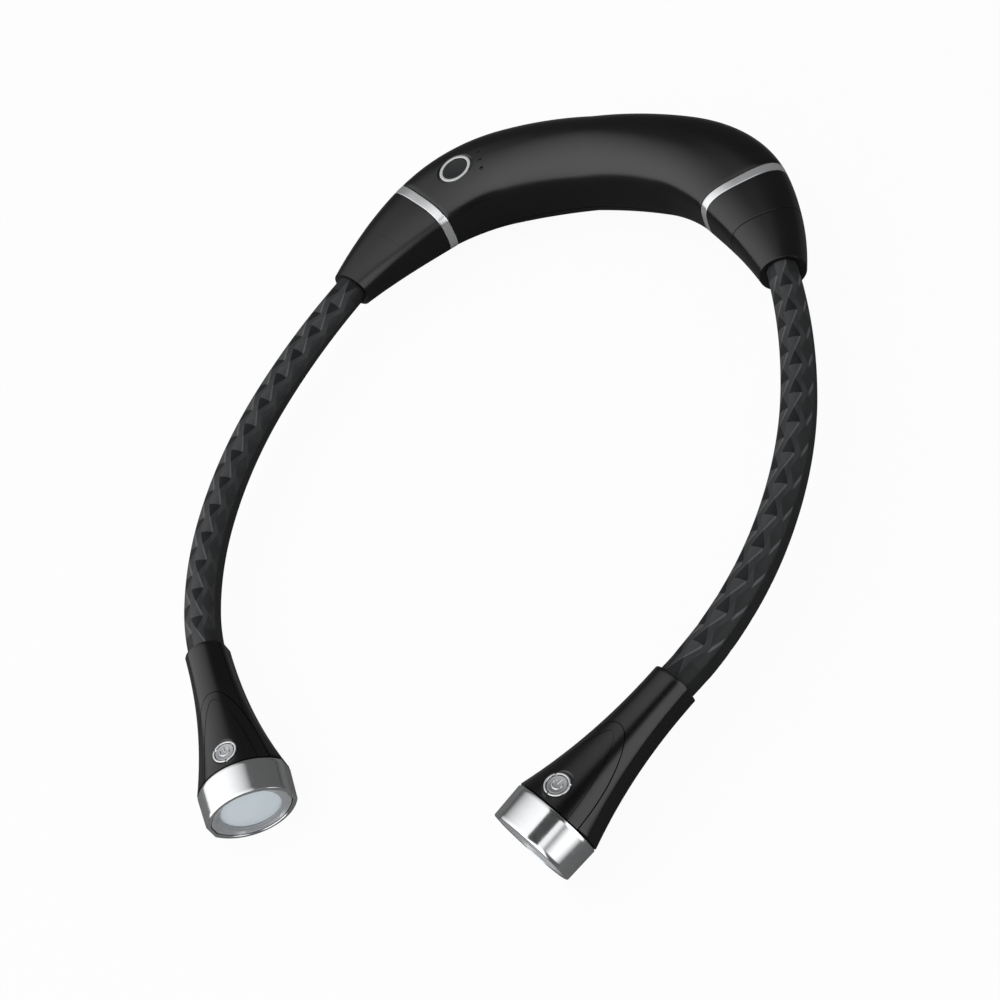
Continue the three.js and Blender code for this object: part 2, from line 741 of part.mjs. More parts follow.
// The cup of a ball joint, open towards -X, with its middle at the origin.
function cup() {
  const inner = link.ball + clearance;
  const mouth = THREE.MathUtils.degToRad(cupMouth);
  const point = (radius, angle) => [radius * Math.sin(angle), radius * Math.cos(angle)];
  const arc = (radius, angles) => angles.map((angle) => point(radius, angle));
  const turns = spread(mouth, Math.PI, Math.PI / 5);
  const profile = [...arc(link.cup, turns), ...arc(inner, turns).reverse()];
  profile[turns.length - 1][0] = 0;
  profile[turns.length][0] = 0;
  return turned([...profile, profile[0]], smallSides);
}

// A stiff rod along the loop between two distances.
function rod(sign, from, to, radius, facets = smallSides) {
  return loopLoft(stretch(sign, from, to, 1.5 * rowPitch), () => circleOutline(radius, facets));
}

// The matrix at a place with X towards the lamp head, Y outwards and Z up.
function towardsHead(sign, distance) {
  const frame = frameAt(sign * distance);
  const forward = frame.along.clone().multiplyScalar(sign);
  return new THREE.Matrix4().makeBasis(forward, frame.up.clone().cross(forward), frame.up)
    .setPosition(frame.origin);
}

// One link of the gooseneck: a cup or a ferrule, a rod, and a ball or a ferrule.
function gooseneckLink(sign, number) {
  const last = sectionRows.length - 1;
  const parts = [];
  const ferrule = (from, to) => {
    const size = link.ferrule;
    const reach = 2 * link.ferruleLength;
    const top = block([-reach, -size, link.ferruleFlat], [reach, size, size]);
    return cut(rod(sign, from, to, size, roundSides), placed(top, towardsHead(sign, (from + to) / 2)));
  };
  let start = bootEnd - link.ferruleLength - clearance;
  let end = armEnd + clearance + link.ferruleLength;
  if (number === 0) {
    parts.push(ferrule(start, bootEnd - clearance));
  } else {
    start = bends[number - 1] + link.ball + clearance + fit / 2;
    const facing = new THREE.Matrix4().makeRotationY(-Math.PI / 2);
    parts.push(placed(cup(), towardsHead(sign, bends[number - 1]).multiply(facing)));
  }
  if (number === last) {
    parts.push(ferrule(armEnd + clearance, end));
  } else {
    end = bends[number];
    const ball = solid(new THREE.SphereGeometry(link.ball, smallSides, smallSides / 2).rotateX(Math.PI / 2));
    parts.push(placed(ball, towardsHead(sign, end)));
    parts.push(rod(sign, end - 2 * link.cup, end, link.stem, smallSides));
    end -= 2 * link.cup;
  }
  return add(rod(sign, start, end, link.rod), ...parts);
}

// A tube of a lead through points, with its ends square to its route.
function tube(points, radius, step) {
  const extrudePath = new THREE.CatmullRomCurve3(points);
  const section = new THREE.Shape().absarc(0, 0, radius, 0, 2 * Math.PI, false);
  const steps = Math.round(extrudePath.getLength() / step);
  return new THREE.ExtrudeGeometry(section, { steps, curveSegments: 4, bevelEnabled: false, extrudePath });
}

const ledBoardPlace = headLength - ledBoard.setback - ledBoard.thickness;

// Where the lead is pinned in the casing, and how it climbs past the cell, by the cell's radius
const casingShares = [0.5, 0.8];
const pastCellShares = { beside: 0.8, above: 0.95, climb: 0.81, descent: 0.71 };

// The lead's stretch that both arms share: from the boot through the sleeve to the LED board.
function armRoute(sign) {
  const inArm = spread(shoulderRoot, armEnd + sleeve.plug, rowPitch).map((place) => [place, 0, lead.rise]);
  const inHead = [...casingShares.map((share) => share * casingLength), ledBoardPlace - clearance]
    .map((place) => [armEnd + place, 0, -lead.rise / 2]);
  return [...inArm, ...inHead]
    .map(([place, across, height]) => spotAt(sign * place, sign * across, height));
}

const onBoard = board.top + clearance + lead.radius;

// Leads from the main board to the LEDs: the left one straight into its arm, the right one
// first past the cell to the other end of the housing.
function leftLead() {
  const start = [[-50.2, -3.5, onBoard], [-55, -2.5, onBoard], [-62, -1, onBoard], [-72, 0, lead.rise]];
  return tube([...start.map((point) => spotAt(...point)), ...armRoute(-1)], lead.radius, leadStep);
}

function rightLead() {
  const [beside, above, climb, descent] = Object.values(pastCellShares).map((share) => share * cell.radius);
  const start = [
    [-35, 6, onBoard], [-30.5, 6.4, onBoard + lead.radius], [-25, beside, climb],
    [-20, beside, above], [-4, beside, above], [12, beside, above], [28, beside, above],
    [36, 5.5, above], [45, 3, descent], [54, 1, lead.rise + 2 * lead.radius], [64, 0, lead.rise],
    [74, 0, lead.rise],
  ];
  return tube([...start.map((point) => spotAt(...point)), ...armRoute(1)], lead.radius, leadStep);
}

function cellLead() {
  const { radius, across } = batteryLead;
  const height = board.top + clearance + radius;
  const from = cellFrom - radius - clearance;
  const route = spread(from, from - batteryLead.length, leadStep / 2);
  return tube(route.map((place) => spotAt(place, across, height)), radius, leadStep / 2);
}

// Lamp heads, modelled along +X from the neck

// Half sizes of the casing at a distance from the neck: it flares like a trumpet.
function casingSize(place) {
  const share = Math.max(0, place / casingLength) ** flarePower;
  const mix = (key) => THREE.MathUtils.lerp(neck[key], collarBack[key], share);
  return { halfWidth: mix("halfWidth"), halfHeight: mix("halfHeight"), flat: mix("flat") };
}

function casingLoft(from, to, inset) {
  const places = spread(from, to, casingLength / casingRings);
  return loft(axisFrames(places), places.map((place) => flattedOutline(casingSize(place), inset)));
}

// The outline of the metal collar, drawn in, at a distance from the neck.
function collarOutline(place, inset = 0) {
  const share = (place - casingLength - clearance) / headCollarLength;
  const mix = (key) => THREE.MathUtils.lerp(collarBack[key], face[key], share);
  const size = { halfWidth: mix("halfWidth"), halfHeight: mix("halfHeight"), flat: mix("flat") };
  return flattedOutline(size, inset);
}

// A bar along +X inside the collar, drawn in from its outside.
function inCollar(from, to, inset) {
  return loft(axisFrames([from, to]), [from, to].map((place) => collarOutline(place, inset)));
}

// A bar along +X from one outline to another.
function straightLoft(from, to, outline, end = outline) {
  return loft(axisFrames([from, to]), [outline, end]);
}

// The arched inlay's plan, from its apex to the collar, raised to a prism.
function archPrism(growth) {
  const steps = 8;
  const half = Array.from({ length: steps + 1 }, (_, i) => {
    const share = i / steps;
    const ahead = 2 * arch.length * share;
    const beside = 2 * archPower * arch.halfWidth * share ** (2 * archPower - 1);
    const slope = share === 0 ? Math.PI / 2 : Math.atan2(beside, ahead);
    return [
      casingLength - arch.length * (1 - share ** 2) - growth * Math.sin(slope),
      arch.halfWidth * share ** (2 * archPower) + growth * Math.cos(slope),
    ];
  });
  half[0][1] = 0;
  if (growth > 0) half.push([casingLength + growth, half[steps][1]]);
  const shape = new THREE.Shape(half.map(([x, y]) => new THREE.Vector2(x, y)));
  half.slice(1).reverse().forEach(([x, y]) => shape.lineTo(x, -y));
  const depth = collarBack.halfHeight + overrun;
  const geometry = new THREE.ExtrudeGeometry(shape, { depth, bevelEnabled: false });
  return solid(geometry.translate(0, 0, arch.floor));
}

// The matrix whose Z axis stands square on the casing's top at the button.
function onCasing() {
  const [here, ahead] = [headPressPlace, headPressPlace + fit].map((place) => casingSize(place).halfHeight);
  const slope = Math.atan2(ahead - here, fit);
  return new THREE.Matrix4().makeRotationY(-slope).setPosition(headPressPlace, 0, here);
}

const headPressPlace = casingLength - headPressSetback;
const headBoardTo = casingLength - headBoard.setback;
const headBoardFrom = headBoardTo - headBoard.length;
const pressMatrix = onCasing();
const switchTop = casingSize(headPressPlace).halfHeight - pressDepths(headPress).foot
  - headPress.travel - clearance;
const headBoardTop = switchTop - fit - headSwitch.height - headSwitch.plungerHeight;

function headCasing() {
  const spigotTo = casingLength + headSpigot.length;
  const spigotInset = collarWall + fit;
  const stepAt = casingLength - headSpigot.step;
  const outer = casingLoft(0, casingLength, 0);
  const spigot = inCollar(stepAt, spigotTo, spigotInset);
  const bore = inCollar(stepAt - overrun, spigotTo + overrun, spigotInset + headSpigot.wall);
  const cavityFrom = sleeve.plug + clearance + shoulderLength;
  const cavity = casingLoft(cavityFrom, stepAt, headWall);
  const passage = straightLoft(sleeve.plug, cavityFrom + overrun, circleOutline(shoulderBore, roundSides));
  const grip = straightLoft(-overrun, sleeve.plug + clearance, sleeveOutline(fit));
  const railTop = headBoardTop - headBoard.thickness - clearance;
  const rails = [-1, 1].map((side) => {
    const inner = (side * (headBoard.width - 2 * rail.reach)) / 2;
    const outerEdge = side * collarBack.halfWidth;
    return block(
      [headBoardFrom, Math.min(inner, outerEdge), railTop - rail.thickness],
      [headBoardTo, Math.max(inner, outerEdge), railTop],
    );
  });
  const flange = add(...rails).intersect(casingLoft(0, casingLength, headWall / 2));
  const shell = cut(add(outer, spigot), bore, cavity, passage, grip);
  return cut(add(shell, flange), archPrism(fit));
}

function headPanel() {
  const wall = cut(casingLoft(0, casingLength, 0), casingLoft(-overrun, casingLength + overrun, arch.wall));
  const inCasing = casingLoft(0, casingLength, arch.wall / 2);
  const boss = placed(pressBoss(headPress), pressMatrix).intersect(inCasing);
  return cut(add(wall.intersect(archPrism(0)), boss), placed(pressHole(headPress), pressMatrix));
}

function collarRing() {
  const from = casingLength + clearance;
  return cut(inCollar(from, headLength, 0), inCollar(from - overrun, headLength + overrun, collarWall));
}

const lensFront = headLength - lens.recess - ledgeThickness;

// The bezel inside the collar: it slopes in from the collar's outline to the round lens.
function lensBezel() {
  const back = lensFront - lens.thickness - ledgeThickness;
  const rim = collarOutline(headLength, collarWall + fit);
  const outer = inCollar(back, headLength - fit, collarWall + fit);
  const opening = circleLike(rim, lens.ledge);
  const pocket = lyingBar(lens.radius + fit, back - overrun, lensFront);
  const wider = circleLike(rim, lens.radius + fit);
  const mouth = straightLoft(headLength - lens.recess, headLength, opening, wider);
  return cut(outer, pocket, straightLoft(back, headLength, opening), mouth);
}

function lampLens() {
  return lyingBar(lens.radius, lensFront - fit - lens.thickness, lensFront - fit);
}

function emitterBoard() {
  const plate = inCollar(ledBoardPlace, ledBoardPlace + ledBoard.thickness, collarWall + clearance);
  const front = ledBoardPlace + ledBoard.thickness;
  return add(plate, lyingBar(ledBoard.emitter, front - fit, front + ledBoard.emitterHeight));
}

// A square switch with a round plunger, standing on the origin.
function pushSwitch({ side, plunger, plungerHeight }, height) {
  return add(
    block([-side / 2, -side / 2, 0], [side / 2, side / 2, height]),
    bar(plunger, height - fit, height + plungerHeight),
  );
}

// Moves a mesh to where a matrix says.
function put(mesh, matrix) {
  mesh.applyMatrix4(matrix);
  return mesh;
}

function lampHead({ name, sign }) {
  const head = new THREE.Group();
  const { x, y, heading } = pointOnLoop(sign * armEnd);
  head.position.set(sign * x, y, 0);
  head.rotation.set(0, headTilt, sign > 0 ? heading : Math.PI - heading, "ZYX");
  const boardMiddle = (headBoardFrom + headBoardTo) / 2;
  const plate = new THREE.BoxGeometry(headBoardTo - headBoardFrom, headBoard.width, headBoard.thickness);
  const boardMesh = piece(`head_board_${name}`, plate, "circuit");
  boardMesh.position.set(boardMiddle, 0, headBoardTop - headBoard.thickness / 2);
  const switchMesh = piece(`head_switch_${name}`, pushSwitch(headSwitch, headSwitch.height), "component");
  switchMesh.position.set(headPressPlace, 0, headBoardTop + fit);
  head.add(
    piece(`head_casing_${name}`, headCasing(), "body"),
    piece(`head_panel_${name}`, headPanel(), "body"),
    put(piece(`head_button_bezel_${name}`, pressRing(headPress), "steel"), pressMatrix),
    put(piece(`head_button_${name}`, pressCap(headPress), "steel"), pressMatrix),
    boardMesh,
    switchMesh,
    piece(`collar_ring_${name}`, collarRing(), "steel"),
    piece(`lens_bezel_${name}`, lensBezel(), "bezel"),
    piece(`lens_${name}`, lampLens(), "diffuser"),
    piece(`led_board_${name}`, emitterBoard(), "circuit"),
  );
  return head;
}

function arm({ name, sign }) {
  const group = new THREE.Group();
  group.add(
    piece(`band_${name}`, bodyRing(sign, bandFrom, bandTo, skin), "steel"),
    piece(`end_collar_${name}`, bodyRing(sign, collarFrom, collarTo, skin), "body"),
    piece(`arm_boot_${name}`, armBoot(sign), "body"),
    piece(`led_lead_${name}`, sign > 0 ? rightLead() : leftLead(), "wire"),
  );
  sectionRows.forEach((_, number) => {
    group.add(
      piece(`gooseneck_link_${name}_${number}`, gooseneckLink(sign, number), "steel"),
      piece(`arm_sleeve_${name}_${number}`, sleeveSection(sign, number), "silicone"),
    );
  });
  return group;
}

// Pieces in and on the housing

function cellBody() {
  const half = cell.length / 2;
  return add(
    lyingBar(cell.radius, -half, half - cell.cap),
    lyingBar(cell.capRadius, half - cell.cap - fit, half),
  );
}

function chargingPort() {
  const shell = slotBar(port.width / 2, port.height / 2, portMouth - port.depth, portMouth);
  const inner = slotBar(
    port.width / 2 - port.wall, port.height / 2 - port.wall,
    portMouth - port.depth + tongue.inset, portMouth + overrun,
  );
  const blade = block(
    [-tongue.width / 2, portMouth - port.depth + tongue.inset / 2, -tongue.thickness / 2],
    [tongue.width / 2, portMouth - tongue.inset, tongue.thickness / 2],
  );
  return add(cut(shell, inner), blade);
}

// The comb that brings three indicator lights up through the shell.
function lightGuide() {
  const underTop = topOfBody(guide.place, guidePlaces[0]) - guide.drop;
  const ends = [guidePlaces[0] - guide.bar, guidePlaces[guidePlaces.length - 1] + guide.bar];
  const comb = block([-guide.bar / 2, ends[0], underTop - guide.bar], [guide.bar / 2, ends[1], underTop]);
  const pins = guidePlaces.map((across) => {
    const top = topOfBody(guide.place, across) - fit;
    const pin = bar(guide.pin, underTop - guide.bar / 2, top);
    return placed(pin, new THREE.Matrix4().makeTranslation(0, across, 0));
  });
  const leg = bar(guide.leg, board.top + clearance, underTop - guide.bar / 2);
  return add(comb, ...pins, placed(leg, new THREE.Matrix4().makeTranslation(0, guide.across, 0)));
}

function housing() {
  const group = new THREE.Group();
  const boardBox = new THREE.BoxGeometry(boardLength(), board.width, board.thickness);
  boardBox.translate(0, 0, board.top - board.thickness / 2);
  const boardMesh = piece("main_board", boardBox, "circuit");
  const stemFoot = new THREE.Vector3(0, 0, -pressDepths(powerPress).foot).applyMatrix4(powerMatrix);
  const gaps = powerPress.travel + clearance + fit;
  const switchHeight = stemFoot.z - gaps - board.top - powerSwitch.plungerHeight;
  const switchMatrix = new THREE.Matrix4().makeTranslation(stemFoot.x, stemFoot.y, board.top + fit);
  group.add(
    piece("housing_shell", housingShell(), "body"),
    piece("housing_base", housingBase(), "body"),
    put(piece("battery_cell", cellBody(), "wrap"), cellMatrix()),
    put(boardMesh, boardMatrix()),
    put(piece("power_switch", pushSwitch(powerSwitch, switchHeight), "component"), switchMatrix),
    put(piece("power_button", pressCap(powerPress), "body"), powerMatrix),
    put(piece("power_button_ring", pressRing(powerPress), "steel"), powerMatrix),
    put(piece("indicator_light_guide", lightGuide(), "diffuser"), uprightAt(guide.place)),
    put(piece("usb_port", chargingPort(), "steel"), portMatrix),
    piece("battery_lead", cellLead(), "wire"),
  );
  for (const { name } of arms) {
    const place = screwPlaces[name];
    const seat = uprightAt(place, 0, screwSeat(place) - fit);
    group.add(put(piece(`base_screw_${name}`, baseScrew(), "steel"), seat));
  }
  return group;
}

const neckLight = new THREE.Group();
const raisedToArms = new THREE.Group();
raisedToArms.position.set(0, 0, armPlane);
raisedToArms.add(housing(), ...arms.map(arm), ...arms.map(lampHead));
neckLight.add(raisedToArms);

export default neckLight;
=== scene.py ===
"""Looks of a neck reading light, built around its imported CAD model.

The light is a curved battery housing with two bendable arms in silicone sleeves and a lamp head
on each. All shapes are worked out in millimetres in the frame of the CAD model and put into the
meshes in metres: X across, +Y towards the housing, -Y towards the lamp heads, +Z up.
"""

from __future__ import annotations

import logging
import math
from dataclasses import dataclass
from enum import Enum
from functools import partial
from typing import Any, Sequence

import bpy
import numpy as np
from mathutils import Matrix


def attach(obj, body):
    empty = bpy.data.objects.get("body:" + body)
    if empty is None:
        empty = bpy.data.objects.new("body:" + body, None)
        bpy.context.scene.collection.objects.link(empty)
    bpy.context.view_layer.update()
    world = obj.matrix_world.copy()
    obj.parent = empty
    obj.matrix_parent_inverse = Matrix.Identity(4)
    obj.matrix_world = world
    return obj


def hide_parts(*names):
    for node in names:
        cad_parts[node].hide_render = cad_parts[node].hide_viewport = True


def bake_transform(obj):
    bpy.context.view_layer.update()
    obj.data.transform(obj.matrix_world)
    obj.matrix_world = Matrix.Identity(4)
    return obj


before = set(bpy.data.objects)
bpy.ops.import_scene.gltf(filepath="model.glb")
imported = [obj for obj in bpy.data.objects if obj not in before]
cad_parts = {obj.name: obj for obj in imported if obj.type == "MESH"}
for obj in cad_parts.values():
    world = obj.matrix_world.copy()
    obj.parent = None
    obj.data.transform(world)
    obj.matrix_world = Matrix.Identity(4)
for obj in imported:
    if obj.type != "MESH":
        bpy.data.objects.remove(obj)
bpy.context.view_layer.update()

Array = np.ndarray
MM = 0.001
SHARP_DEGREES = 32.0

# Sizes in millimetres that several parts share, as in the CAD source
SKIN = 1.6  # wall of the housing and of the tapered ends
FIT = 0.2  # gap between parts that sit in each other
CLEARANCE = 0.3  # gap between parts that pass each other
PLUG = 7.5  # depth of the sleeve's ends in their sockets
SHOULDER = 3.0  # wall behind a socket
PASSAGE = 4.0  # radius of the way through it
SOCKET_LIP = 0.4  # length of a socket's mouth
AXIS = 0.02  # radius at which a turned surface ends on its axis
WALL_STEP = 1.4  # longest step along a wall of the housing
WALL_POINTS = 160  # points round a wall
OUTLINE_STEPS = (4, 4, 24)  # points on half a flat, on a corner and on half an arc

log = logging.getLogger("neck_light")


# The loop that the whole light follows


@dataclass(frozen=True)
class Frames:
    """Section frames along a line: where each section stands and which way it faces."""

    origin: Array
    along: Array
    out: Array
    up: Array

    def place(self, outlines: Array) -> Array:
        """Puts outlines into the frames: origin + x * out + y * up.

        Args:
            outlines: Points (across, up) of each section, sections x points x 2.

        Returns:
            The points in space, sections x points x 3.
        """
        return (
            self.origin[:, None, :]
            + outlines[..., 0:1] * self.out[:, None, :]
            + outlines[..., 1:2] * self.up[:, None, :]
        )


@dataclass(frozen=True)
class Loop:
    """The centre line from the middle of the housing to the neck of a lamp head, as arcs.

    The arms are bent by hand, so the last arc's radius differs from left to right.
    """

    radii: tuple[float, ...] = (119.5, 42.4, 141.4, 235.0, 161.0, 129.0)
    last_radii: tuple[float, float] = (79.0, 100.0)
    lengths: tuple[float, ...] = (30.1, 29.1, 37.3, 48.2, 48.2, 32.4, 16.2)
    arm_plane: float = 14.5
    head_length: float = 54.1
    face_half_height: float = 10.35

    @property
    def housing_end(self) -> float:
        """Distance from the middle to the metal band."""
        return sum(self.lengths[:2])

    @property
    def boot_end(self) -> float:
        """Distance from the middle to the end of the tapered boot."""
        return sum(self.lengths[:3])

    @property
    def arm_end(self) -> float:
        """Distance from the middle to the neck of the lamp head."""
        return sum(self.lengths)

    @property
    def head_tilt(self) -> float:
        """Angle by which a head tips down until its face reaches the ground."""
        reach = math.hypot(self.head_length, self.face_half_height)
        drop = math.atan2(self.face_half_height, self.head_length)
        return math.asin(self.arm_plane / reach) - drop

    def walk(self, places: Array) -> tuple[Array, Array, Array, Array]:
        """Follows the arcs: x grows by R (sin h - sin h'), y by R (cos h' - cos h).

        Args:
            places: Signed distances from the middle of the housing.

        Returns:
            x, y and heading as on the right half, and what is left past the arm's end.
        """
        x, y = np.zeros_like(places), np.zeros_like(places)
        heading, left = np.zeros_like(places), np.abs(places)
        last = np.where(places < 0, *self.last_radii)
        for radius, length in zip([*self.radii, last], self.lengths):
            step = np.clip(left, 0.0, length)
            turned = heading - step / radius
            x += radius * (np.sin(heading) - np.sin(turned))
            y += radius * (np.cos(turned) - np.cos(heading))
            heading, left = turned, left - step
        return x, y, heading, left

    def frames(self, places: Sequence[float] | Array) -> Frames:
        """The frames at signed distances along the loop; the right half is positive.

        Args:
            places: Signed distances from the middle of the housing.

        Returns:
            One frame for each place, past the arm's end on the axis of the head.
        """
        places = np.asarray(places, float)
        x, y, heading, left = self.walk(places)
        tilt = np.where(left > 1e-9, self.head_tilt, 0.0)
        c, s, zero = np.cos(heading), np.sin(heading), np.zeros_like(x)
        along = np.stack([c * np.cos(tilt), s * np.cos(tilt), -np.sin(tilt)], -1)
        out = np.stack([-s, c, zero], -1)
        up = np.stack([c * np.sin(tilt), s * np.sin(tilt), np.cos(tilt)], -1)
        origin = np.stack([x, y, zero + self.arm_plane], -1) + along * left[:, None]
        mirror = np.where(places < 0, -1.0, 1.0)[:, None] * [[1.0, 0, 0]] + [[0, 1.0, 1.0]]
        origin, out, up = origin * mirror, out * mirror, up * mirror
        along = along * mirror * np.where(places < 0, -1.0, 1.0)[:, None]
        return Frames(origin, along, out, up)

    def spot(self, place: float, across: float, height: float) -> Array:
        """A point by its distance along the loop and its offsets out and up."""
        at = self.frames([place])
        return at.origin[0] + across * at.out[0] + height * at.up[0]


LOOP = Loop()


class Side(Enum):
    """Which arm a piece belongs to."""

    LEFT = "left"
    RIGHT = "right"

    @property
    def sign(self) -> int:
        """The sign of X on this side."""
        return -1 if self is Side.LEFT else 1


# Outlines of sections


def columns(*values: Array | float) -> list[Array]:
    """Each value, or one of each section, as a column."""
    return [np.atleast_1d(np.asarray(value, float))[:, None] for value in values]


def superellipse(angles: Array, half_width: Array, half_height: Array, power: Array) -> Array:
    """Outline |x/a|^n + |y/b|^n = 1 at polar angles: r = (|cos/a|^n + |sin/b|^n)^(-1/n).

    Args:
        angles: Polar angles of the outline's points, in radians.
        half_width: a of each section.
        half_height: b of each section.
        power: n of each section, 2 for an ellipse.

    Returns:
        Points, sections x angles x 2.
    """
    a, b, n = columns(half_width, half_height, power)
    c, s = np.cos(angles)[None, :], np.sin(angles)[None, :]
    radius = ((np.abs(c) / a) ** n + (np.abs(s) / b) ** n) ** (-1.0 / n)
    return np.stack([radius * c, radius * s], -1)


def flatted(
    half_width: Array, half_height: Array, flat: Array, inset: Array | float,
    corner: float = 0.35,
) -> Array:
    """Outline of an arc over and an arc under joined by an upright flat at each side.

    A quarter runs up the flat, round the corner on a quadratic curve and over the arc
    x = R sin a, y = c + R cos a; the other three quarters mirror it.

    Args:
        half_width: Half width of each section.
        half_height: Half height of each section.
        flat: Half height of the side flats.
        inset: How far the outline is drawn in.
        corner: Reach of the rounded corner on either side of it.

    Returns:
        Points against the clock from the middle of the right flat, sections x points x 2.
    """
    wide, high, flat, inset = columns(half_width, half_height, flat, inset)
    flat_steps, bend_steps, arc_steps = OUTLINE_STEPS
    width, rise, top = wide - inset, high - flat, high - inset
    radius = (width**2 + rise**2) / (2.0 * rise)
    centre = top - radius
    reach = np.arctan2(width, radius - rise)
    side = top - rise
    low = np.linspace(0.0, 1.0, flat_steps + 1)[None, :]
    flat_x, flat_y = width + 0.0 * low, (side - corner) * low
    start = reach - corner / radius
    bend = np.linspace(0.0, 1.0, bend_steps + 2)[None, 1:-1]
    from_x, from_y = width, side - corner
    to_x, to_y = radius * np.sin(start), centre + radius * np.cos(start)
    bend_x = (1 - bend) ** 2 * from_x + 2 * bend * (1 - bend) * width + bend**2 * to_x
    bend_y = (1 - bend) ** 2 * from_y + 2 * bend * (1 - bend) * side + bend**2 * to_y
    turn = start * (1.0 - np.linspace(0.0, 1.0, arc_steps + 1)[None, :])
    arc_x, arc_y = radius * np.sin(turn), centre + radius * np.cos(turn)
    quarter = np.stack([np.concatenate([flat_x, bend_x, arc_x], 1),
                        np.concatenate([flat_y, bend_y, arc_y], 1)], -1)
    back = quarter[:, -2:0:-1]
    return np.concatenate([
        quarter, back * [-1.0, 1.0], quarter[:, :1] * [-1.0, 1.0], quarter[:, 1:] * -1.0,
        back * [1.0, -1.0],
    ], 1)


def angles_of(outline: Array) -> Array:
    """Polar angles of one outline's points."""
    return np.arctan2(outline[:, 1], outline[:, 0])


def spun(points: Array, turn: Array | float) -> Array:
    """Points turned about the origin: (x cos t - y sin t, x sin t + y cos t)."""
    x, y, c, s = points[..., 0], points[..., 1], np.cos(turn), np.sin(turn)
    return np.stack([x * c - y * s, x * s + y * c], -1)


def circle(angles: Array, radius: Array | float, count: int) -> Array:
    """Circles of one radius or of one radius each, at polar angles."""
    radii = np.broadcast_to(np.asarray(radius, float), (count,))[:, None, None]
    return radii * np.stack([np.cos(angles), np.sin(angles)], -1)[None]


def even_angles(count: int) -> Array:
    """Evenly spread polar angles of a whole turn."""
    return np.linspace(0.0, 2.0 * np.pi, count, endpoint=False)


def path_of(corners: Sequence[tuple[float, float]], step: float) -> tuple[Array, Array]:
    """A path through corner points, with steps no longer than asked for along the first axis.

    Args:
        corners: Points (place, inset) of a wall's profile.
        step: Longest step along the first axis.

    Returns:
        The places and the insets.
    """
    points = np.asarray(corners, float)
    parts = [points[:1]]
    for start, end in zip(points[:-1], points[1:]):
        count = max(1, math.ceil(abs(end[0] - start[0]) / step - 1e-9))
        share = np.linspace(0.0, 1.0, count + 1)[1:, None]
        parts.append(start + (end - start) * share)
    path = np.concatenate(parts)
    return path[:, 0], path[:, 1]


def soft_edges(start: float, end: float, edge: float) -> list[tuple[float, float]]:
    """The outside of a wall from start to end, as (place, inset), with rounded edges."""
    k = edge * 0.3
    return [(start, edge), (start + k, k), (start + edge, 0.0), (end - edge, 0.0), (end - k, k),
            (end, edge)]


# Meshes


def put(name: str, data: Any) -> Any:
    """Makes an object of a mesh, light or camera and puts it into the scene."""
    piece = bpy.data.objects.new(name, data)
    bpy.context.scene.collection.objects.link(piece)
    return piece


def new_object(name: str, vertices: Array, faces: list[list[int]], uv: Array) -> Any:
    """Makes an object of a closed surface, with faces outwards and smooth between soft edges.

    Args:
        name: The piece's name.
        vertices: Points in millimetres.
        faces: Corner numbers of each face.
        uv: Pattern coordinates of each face corner.

    Returns:
        The new object, at the origin.
    """
    mesh = bpy.data.meshes.new(name)
    mesh.from_pydata((vertices * MM).tolist(), [], faces)
    mesh.uv_layers.new(name="UVMap").data.foreach_set("uv", uv.astype(np.float32).ravel())
    mesh.validate()
    if signed_volume(mesh) < 0:
        mesh.flip_normals()
    smooth(mesh)
    return put(name, mesh)


def points_of(mesh: Any) -> Array:
    """A mesh's points, in metres."""
    points = np.zeros(len(mesh.vertices) * 3)
    mesh.vertices.foreach_get("co", points)
    return points.reshape(-1, 3)


def signed_volume(mesh: Any) -> float:
    """Volume inside a closed mesh, below zero where its faces point inwards."""
    mesh.calc_loop_triangles()
    corners = np.zeros(len(mesh.loop_triangles) * 3, np.int32)
    mesh.loop_triangles.foreach_get("vertices", corners)
    a, b, c = points_of(mesh)[corners.reshape(-1, 3)].transpose(1, 0, 2)
    return float(np.einsum("ij,ij->i", a, np.cross(b, c)).sum() / 6.0)


def smooth(mesh: Any, degrees: float = SHARP_DEGREES) -> None:
    """Shades a mesh smooth, apart from edges sharper than an angle."""
    mesh.polygons.foreach_set("use_smooth", np.ones(len(mesh.polygons), bool))
    mesh.set_sharp_from_angle(angle=math.radians(degrees))
    mesh.update()


